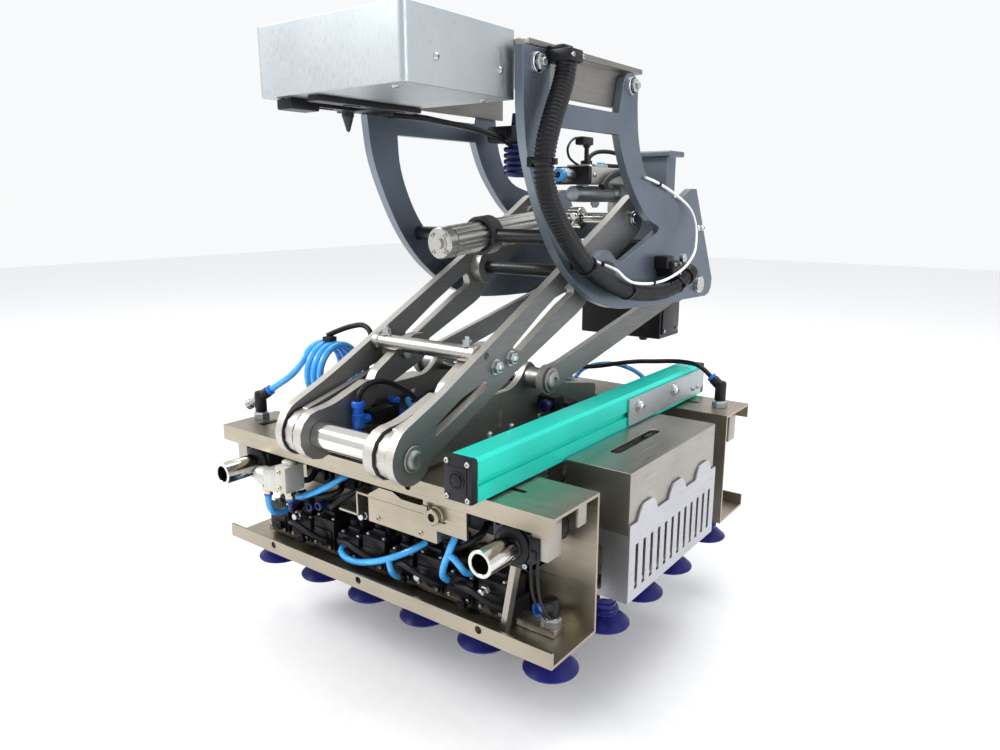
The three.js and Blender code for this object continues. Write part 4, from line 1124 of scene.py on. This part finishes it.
def build_valve_terminal():
    """Valves, fittings and short air lines between the cheek plates."""
    shells, rings, lines = meshes(3)
    block(shells, (-52, -72, 104), (52, 72, 112), 1.5)
    for i in range(TERMINAL_COUNT):
        x = -49 + TERMINAL_PITCH * i
        block(shells, (x, -66, 111), (x + 12.4, 60, 156 + 4 * (i % 2)), 1.6)
        block(shells, (x + 2, -70, 116), (x + 10.4, -64, 138), 1)
        for y in (-44, -8, 28):
            solid(shells, at(x + 6.2, y, 156), Z, [(0, 4.8), (9, 4.8), (9.4, 4.2)], 20)
            lathe(rings, at(x + 6.2, y, 165), Z, [(0, 2.6), (0, 4.4), (1, 5), (3, 5), (3.4, 4.2),
                (3.4, 2.6)], 20)
    for sign in (1, -1):
        for y, z, length in ((-152, 188, 26), (-60, 184, 34)):
            block(shells, (CHEEK_INNER * sign, y, z), ((CHEEK_INNER - 17) * sign, y + length, z + 22), 2)
        for y, z in ((-92, 207), (-38, 196)):
            solid(rings, at((CHEEK_INNER - 9) * sign, y, z), -Y, [(-8, 4.6), (2, 4.6), (2.4, 6.2), (9, 6.2),
                (9.6, 5.2), (9.6, 3), (6, 3)], 24)
        for y, z in ((-14, 203), (16, 190)):
            solid(rings, at(84 * sign, y, z), -Y, [(-8, 5), (4, 5), (4.4, 6.6), (10, 6.6), (10.6, 5.4),
                (10.6, 3), (7, 3)], 24)
            block(lines, (68.4 * sign, y + 2, z - 8), (92 * sign, y + 22, z + 8), 2)
    blues = bmesh.new()
    for x, y, z in ((-35, -196, 198), (35, -176, 190), (-50, -128, 186)):
        solid(blues, at(x, y, z), Z, [(0, 6.4), (1, 7), (14, 7), (15, 5.6), (22, 5.6), (22, 7), (27, 7),
            (28, 6), (28, 3.4), (24, 3.4)], 28)
        solid(blues, at(x, y, z + 7), Y, [(0, 5), (14, 5), (15, 4.2)], 24)
    block(shells, (-42.9, -182, 197), (-28, -150, 213), 2)
    block(shells, (28, -162, 189), (42.9, -150, 205), 2)
    piece("cheek_push_ins", blues, "blue_ring", "base")
    piece("valve_terminal_shells", shells, "black", "base")
    piece("valve_terminal_rings", rings, "navy_block", "base")
    piece("cheek_valves", lines, "black", "base")
    routes = (
        ("black", 3.2, [(-35, -196, 224), (-34.6, -193, 234), (-32, -180, 243), (-28, -160, 241),
            (-22, -138, 228), (-18, -118, 210), (-16, -96, 190), (-15, -72, 178), (-14.4, -44, 168)]),
        ("black", 3.4, [(50, -100, 206), (46, -116, 210), (30, -124, 206), (12, -116, 192), (2, -84, 180),
            (-0.2, -44, 166)]),
        ("blue", 3.2, [(-50, -100, 207), (-44, -112, 208), (-30, -116, 200), (-22, -96, 186),
            (-22, -44, 167)]),
        ("black", 3.4, [(-50, -46, 196), (-44, -60, 200), (-30, -58, 196), (-28, -30, 180),
            (-29, -8, 167)]),
        ("blue", 3.0, [(50, -46, 196), (44, -62, 200), (34, -58, 192), (29, -30, 180), (28, -8, 167)]),
        ("black", 3.4, [(42, -44, 168), (40, -30, 186), (30, 20, 192), (20, 70, 182), (16, 104, 166)]),
    )
    for i, (look, radius, route) in enumerate(routes):
        hose(f"terminal_line_{i + 1}", route, radius, look, "base")


ROD_X, ROD_Z = middle("guide_rod_right").x, middle("guide_rod_right").z
COVER_FRONT, COVER_BACK = drawn_box("end_cover_right")[0].y, drawn_box("end_cover_right")[1].y
CHEEK_INNER, CHEEK_OUTER = 59.6, 68.1
TERMINAL_COUNT = 7
TERMINAL_PITCH = 14.2
build_ejector_ends()
build_base_bolts()
build_valve_terminal()


# --- carriers
CARRIERS = {"front": -1, "back": 1}
BEARING_REACH = 66.4
VALVE_COUNT = 9
VALVE_PITCH = 40
VALVE_TOPS = (78, 72, 80, 70)
WALL_VALVE_COUNT = 6
WALL_VALVE_PITCH = 50
BAY_LINE_COUNT = 8
BAY_LINE_PITCH = 42
BAY_LOOP_COUNT = 4
BAY_LOOP_PITCH = 84


def wall_of(prefix):
    """Y of the carrier's wall face that looks to the middle of the base."""
    low, high = drawn_box(f"{prefix}_carrier_frame")
    return high.y if prefix == "front" else low.y


def build_bearing_beam(prefix):
    """Bushed blocks for the guide rods, the strip between them, side wings and the leaning foot."""
    side, wall = CARRIERS[prefix], wall_of(prefix)
    top = CARRIER_TOP - SHEET - GAP

    def out(first, last):
        return sorted((wall + side * first, wall + side * last))

    housings, wings, seals, screws = meshes(4)
    (y0, y1), (w0, w1), (f0, f1) = out(20, 66), out(44, BEARING_REACH), out(56, 65)
    middle_y = (y0 + y1) / 2
    block(wings, (-ROD_X, middle_y - 9, top - 6), (ROD_X, middle_y + 9, top), 0.8)
    block(wings, (ROD_X + 20, w0, 127), (ROD_X + 37, w1, top), 1)
    block(wings, (-ROD_X - 37, w0, 127), (-ROD_X - 20, w1, top), 1)
    floor = drawn_box(f"{prefix}_carrier_frame")[0].z + SHEET + GAP
    prism(wings, [(165, floor), (171, floor), (185, 114), (179, 114)], "y", f0, f1)
    for sign in (1, -1):
        x = ROD_X * sign
        for low_z, high_z in ((113, ROD_Z - 13.4), (ROD_Z + 13.4, top)):
            block(housings, (x - 20, y0, low_z), (x + 20, y1, high_z), 1)
        for low_x, high_x in ((x - 22, x - 13.4), (x + 13.4, x + 20)):
            block(housings, (low_x, y0, 113), (high_x, y1, top), 1)
        start = at(x, wall - side * 6, ROD_Z)
        lathe(housings, start, Y * side, [(0, 13), (0, 18), (1, 19), (72, 19), (72, 13)], 48)
        lathe(seals, at(x, wall + side * 66, ROD_Z), Y * side, [(0, 12.8), (0, 18.6), (2.4, 18.6),
            (4.2, 16.4), (4.6, 12.8)], 48)
        for low_z in (118, 163):
            for dx in (-16, 14):
                socket_head(screws, at(x + dx, wall + side * 65.8, low_z), Y * side, 2.4, 2.4)
    piece(f"{prefix}_bearing_housings", housings, "dark_steel", f"{prefix}_carrier",
        (f"{prefix}_bearing_beam",))
    piece(f"{prefix}_bearing_wings", wings, "stainless_side", f"{prefix}_carrier")
    piece(f"{prefix}_bearing_seals", seals, "black_rubber", f"{prefix}_carrier")
    piece(f"{prefix}_bearing_screws", screws, "steel_screw", f"{prefix}_carrier")


def build_manifold(prefix):
    """The row of black valves on the vacuum rail, with screws and knobs, and the valves on the wall above."""
    side = CARRIERS[prefix]
    y = centre_of(f"{prefix}_cup_row")[1]
    body = f"{prefix}_carrier"
    shells, screws, knobs = meshes(3)
    floor = drawn_box(f"{prefix}_carrier_frame")[0].z + SHEET + GAP
    block(shells, (-196, y - 14, floor + 1), (166, y + 14, floor + 24), 2)
    for i in range(VALVE_COUNT):
        x = -194 + VALVE_PITCH * i
        tall = VALVE_TOPS[i % len(VALVE_TOPS)]
        front = y + side * 19
        block(shells, (x, y - side * 16, floor + 6), (x + 34, y + side * 17, tall), 2.5)
        block(shells, (x + 3, y + side * 15, floor + 8), (x + 31, front, tall - 12), 1.5)
        block(shells, (x + 8, y - side * 10, tall - 1), (x + 26, y + side * 8, tall + 6), 1.5)
        solid(knobs, at(x + 10, y - side * 2, tall + 5), Z, [(0, 6.4), (7, 6.4), (8, 5.4)], 24)
        solid(knobs, at(x + 24, front - side, tall - 24), Y * side, [(0, 5), (6, 5), (6.8, 4.2)], 24)
        for dx in (5, 29):
            socket_head(screws, at(x + dx, y + side * 12, tall - 0.2), Z, 2.4, 2)
            socket_head(screws, at(x + dx, front, floor + 12), Y * side, 2, 1.6)
    piece(f"{prefix}_valve_shells", shells, "black", body)
    piece(f"{prefix}_valve_screws", screws, "steel_screw", body)
    piece(f"{prefix}_valve_knobs", knobs, "black_rubber", body)
    upper = bmesh.new()
    wall = wall_of(prefix)
    for i in range(WALL_VALVE_COUNT):
        x = -158 + WALL_VALVE_PITCH * i
        block(upper, (x, wall + side * 3.4, 104 + 4 * (i % 2)), (x + 44, wall + side * 17, 154), 2)
        block(upper, (x + 6, wall + side * 16, 112), (x + 38, wall + side * 22, 146), 1.5)
    piece(f"{prefix}_wall_valves", upper, "black", body)


def build_bay_lines(prefix):
    """Looped air lines from the wall valves down to the row of valves."""
    side, wall = CARRIERS[prefix], wall_of(prefix)
    body = f"{prefix}_carrier"
    y_rail = wall + side * 29
    for i in range(BAY_LINE_COUNT):
        x = -176 + BAY_LINE_PITCH * i
        lean = 14 * sin(2.1 * i)
        rise = 8 * cos(1.7 * i)
        route = [(x, y_rail, 78), (x + 2, y_rail + side * 4, 92), (x + 12, y_rail + side * 16, 104 + rise),
                 (x + 30 + lean, y_rail + side * 20, 110 + rise), (x + 46 + lean, y_rail + side * 8, 116),
                 (x + 46, y_rail - side * 4, 124)]
        hose(f"{prefix}_bay_line_{i + 1}", route, 3.6, "black", body)
    for i in range(BAY_LOOP_COUNT):
        x = -150 + BAY_LOOP_PITCH * i
        route = [(x, y_rail + side * 18, 62), (x + 6, y_rail + side * 26, 66),
            (x + 24, y_rail + side * 31, 70), (x + 46, y_rail + side * 30, 64),
            (x + 60, y_rail + side * 24, 58), (x + 64, y_rail + side * 16, 54)]
        hose(f"{prefix}_bay_loop_{i + 1}", route, 3.2, "black_rubber", body)


def build_front_bay():
    """What shows in the front carrier's opening: fittings, blue lines, the wing bolt and its strap."""
    body = "front_carrier"
    for name, radius, route in (
        ("front_blue_line", 3.6, [(-62, -196, 60), (-58, -208, 55), (-44, -214, 53), (-26, -215, 54),
            (-8, -215, 59), (12, -215, 67), (32, -213, 77), (48, -206, 86), (56, -194, 92)]),
        ("front_blue_branch", 3.4, [(22, -215, 72), (23, -215, 66), (25, -214, 58), (27, -209, 51),
            (28, -200, 47)]),
        ("front_blue_riser", 3.6, [(90, -202, 64), (92, -211, 73), (96, -214, 85), (101, -214, 97),
            (105, -213, 108), (106, -206, 119), (104, -196, 126)]),
        ("front_blue_stub", 3.4, [(102, -213, 98), (109, -214, 97), (114, -212, 91), (116, -206, 82),
            (116, -196, 76)]),
        ("front_navy_line", 3.6, [(-124, -212, 104), (-116, -213, 106), (-104, -212, 111), (-90, -208, 118),
            (-76, -204, 126), (-66, -196, 134), (-60, -184, 138)]),
    ):
        hose(name, route, radius, "blue", body, steps=6)
    nickel, blues, plates = meshes(3)
    for x, y, z in ((-128, -206, 79), (-20, -204, 106), (60, -206, 62), (140, -204, 70)):
        spot = at(x, y, z)
        hexagon(nickel, spot, -Y, 9, 4)
        solid(nickel, spot - Y * 3.8 * MM, -Y, [(0, 3.8), (5, 3.8), (5.6, 3.2)], 24)
    for x, y, z in ((-127, -206, 103), (-112, -204, 92), (-96, -204, 97), (112, -204, 116)):
        solid(blues, at(x, y + 8, z), -Y, [(0, 4.6), (6, 4.6), (6.4, 5.4), (10, 5.4), (10.6, 4.6),
            (10.6, 3.2), (8, 3.2)], 28)
    skirt_back = drawn_box("front_carrier_frame")[0].y + SHEET
    block(plates, (-21, -217, 110), (-18.6, -203, 136), 0.4)
    block(plates, (-48, -217, 109), (-18.6, -203, 111.4), 0.4)
    block(plates, (-21, -217, 134), (5, -203, 136.4), 0.4)
    prism(plates, [(4.2, 138.2), (81.6, 138.2), (81.6, 146), (50, 146), (38, 151), (20, 151), (4.2, 141)],
        "y", -222.8, -221)
    piece("front_bay_nickel", nickel, "steel_screw", body)
    piece("front_bay_push_ins", blues, "navy_block", body)
    piece("front_bay_strap", plates, "stainless", body)
    wing = bmesh.new()
    spot = at(99, skirt_back, 143)
    lathe(wing, spot, -Y, [(0, 4.2), (0, 9.4), (2, 9.4), (2.6, 8), (7, 8), (8, 7), (8, 4.2)], 36)
    for dx, dz in ((-1, 0.5), (1, -0.5)):
        block(wing, (99 + dx * 7, skirt_back - 3, 143 + dz * 6),
            (99 + dx * 15, skirt_back - 6, 146 + dz * 12), 1.2)
    for x in (18, 76):
        bolt(wing, (x, skirt_back + SHEET - 0.1, 118), -Y, 2.6, 1.8)
    piece("front_bay_wing_bolt", wing, "stainless", body)
    core = bmesh.new()
    rod(core, spot, spot - Y * 5 * MM, 4.1, 20)
    piece("front_bay_wing_core", core, "dark_steel", body)


def build_front_valve():
    """The small valve in front of the left bearing, with a brass port and a blue line."""
    body = "front_carrier"
    shell, brass, collar = meshes(3)
    solid(shell, at(-168, -229, 127), X, [(0, 7), (1.6, 9), (9, 9), (9, 11), (22, 11), (22, 9.6),
        (46, 9.6)], 32)
    block(shell, (-146, -241, 116), (-122, -216, 141), 4)
    block(shell, (-123, -242, 119), (-104, -215, 150), 4)
    solid(shell, at(-113.5, -228.5, 149), Z, [(0, 7.4), (4, 7.4), (5, 6)], 28)
    piece("front_valve_shell", shell, "cast_grey", body)
    for x, z in ((-114, 119.1), (-153, 116.1)):
        hexagon(brass, at(x, -229, z), -Z, 12, 5)
        solid(brass, at(x, -229, z - 4.8), -Z, [(0, 5.4), (4, 5.4), (4.4, 4.6)], 24)
        lathe(collar, at(x, -229, z - 8.8), -Z, [(0, 3), (0, 5.2), (2.8, 5.2), (3.2, 4.4), (3.2, 3)], 24)
    for z in (126, 144):
        socket_head(brass, at(-113.8, -242, z), -Y, 2.4, 2)
    piece("front_valve_ports", brass, "brass", body)
    piece("front_valve_collars", collar, "blue_ring", body)
    hose("front_valve_line", [(-153, -229, 105), (-154, -229, 98), (-156, -226, 88), (-159, -220, 80),
        (-161, -210, 75), (-161, -200, 74)], 4, "blue", body)
    hose("front_valve_return", [(-114, -229, 108), (-115, -228, 100), (-122, -222, 92), (-132, -214, 88),
        (-140, -204, 87), (-144, -196, 86)], 3.4, "navy_block", body)


def build_right_recess():
    """The black latch beside the right bearing and the two thin lines that run down from it."""
    body = "front_carrier"
    bm = bmesh.new()
    face = wall_of("front") - BEARING_REACH
    block(bm, (201, face - 2.4, 124), (211, face + 0.4, 147), 0.8)
    block(bm, (203, face - 4, 128), (209, face - 2, 136), 0.6)
    piece("bearing_latch", bm, "black", body)
    for i, x in enumerate((202.5, 209.5)):
        hose(f"latch_line_{i + 1}", [(x, face - 1.2, 124), (x, face - 1, 110), (x, face + 2, 92),
            (x, face + 10, 74), (x, face + 20, 62)], 1.3, "black", body)
    tab = bmesh.new()
    block(tab, (227.4, -189, 152), (230.6, -175, CARRIER_TOP - SHEET), 0.6)
    piece("wall_tab", tab, "stainless_side", body)


def build_cable_over_coil():
    """The black lead over the supply coil, its grommet, the coil's tie and a strip by the inlet elbow."""
    hose("coil_lead", [(-158, -128, 273), (-150, -120, 278), (-136, -110, 284), (-120, -104, 286),
        (-106, -106, 276), (-101, -116, 250), (-99, -134, 216), (-100, -152, 190),
        (-102, -164, CARRIER_TOP)], 3.2, "black", "front_carrier")
    bm = bmesh.new()
    x, y, z = COIL_CENTRE
    solid(bm, at(-102, -164, CARRIER_TOP), Z, [(0, 8), (3, 8), (7, 5), (12, 4.4)], 28)
    block(bm, (x - 7, y - 6, z + COIL["radius"] + 3.6), (x + 6, y + 6, z + COIL["radius"] + 9), 1.4)
    block(bm, (-198, -203, CARRIER_TOP + 0.1), (-190, -181, CARRIER_TOP + 1.1), 0.4)
    piece("coil_lead_grommet", bm, "black_rubber", "front_carrier")


def build_back_fittings():
    """Two elbows on the back carrier; the black line between them passes over the ejector housing."""
    body = "back_carrier"
    build_elbow("back_elbow_right", (207, 196, FITTING_Z), pi / 2, 26, body, (), radians(40))
    build_elbow("back_elbow_left", (-20, 196, FITTING_Z), -pi / 2, 26, body)
    hose("back_line", [(194.7, 196, 210.6), (190, 196.3, 214.4), (184, 197.5, 218.6), (176, 200, 222),
        (166, 203, 223.8), (148, 206, 223.8), (130, 207, 222), (110, 206, 219.4), (86, 204, 216.6),
        (62, 201, 212), (38, 198, 206), (16, 196.4, 201.6), (-1.8, 196, FITTING_Z + 26)], 3, "black", body)
    hose("back_blue_line", [(-20, 216, FITTING_Z + 3), (-10, 222, FITTING_Z + 16),
        (14, 224, FITTING_Z + 26), (46, 222, FITTING_Z + 30), (78, 218, FITTING_Z + 24),
        (100, 212, FITTING_Z + 11), (107, 210, FITTING_Z)], 3.2, "blue", body)


for carrier in CARRIERS:
    build_bearing_beam(carrier)
    build_manifold(carrier)
    build_bay_lines(carrier)
build_front_bay()
build_front_valve()
build_right_recess()
build_cable_over_coil()
build_back_fittings()

# --- floor and light
FLOOR_SIZE = 6
# The base comes down 73 mm at the end of the swing, and the floor is under that.
FLOOR_DROP = 0.078


def build_floor():
    bm = bmesh.new()
    bmesh.ops.create_grid(bm, x_segments=1, y_segments=1, size=FLOOR_SIZE)
    for vert in bm.verts:
        vert.co.z = cad_box[0].z - FLOOR_DROP
    mesh = bpy.data.meshes.new("floor")
    bm.to_mesh(mesh)
    bm.free()
    floor = add_object("floor", mesh)
    g = Graph("pale_floor")
    speck = g.noise(60, 4)
    tone = g.blend(g.spread(speck, 0, 1), rgba(0.86, 0.87, 0.88), rgba(0.90, 0.90, 0.91))
    mesh.materials.append(g.finish(Base_Color=tone, Roughness=0.65))


def area_light(name, place, target, size, power, color=(1, 1, 1)):
    data = bpy.data.lights.new(name, "AREA")
    data.shape = "RECTANGLE"
    data.size, data.size_y = size
    data.energy = power
    data.color = color
    light = add_object(name, data)
    light.location = place
    light.rotation_euler = (Vector(target) - Vector(place)).to_track_quat("-Z", "Y").to_euler()


def build_light():
    """A soft key light from the front left, a top light and a weak one from the right."""
    world = bpy.data.worlds.new("studio")
    world.use_nodes = True
    background = world.node_tree.nodes["Background"]
    background.inputs["Color"].default_value = (0.98, 0.99, 1.0, 1)
    background.inputs["Strength"].default_value = 0.96
    bpy.context.scene.world = world
    bpy.context.scene.view_settings.view_transform = "Standard"
    centre = (0, 0, -0.35)
    area_light("key", (-1.5, -1.4, 1.3), centre, (1.0, 1.0), 46, (1.0, 0.98, 0.95))
    area_light("top", (0.2, 0.5, 1.5), centre, (1.4, 1.4), 26)
    area_light("side", (1.9, 0.1, 0.3), centre, (0.8, 1.2), 9)


build_floor()
build_light()
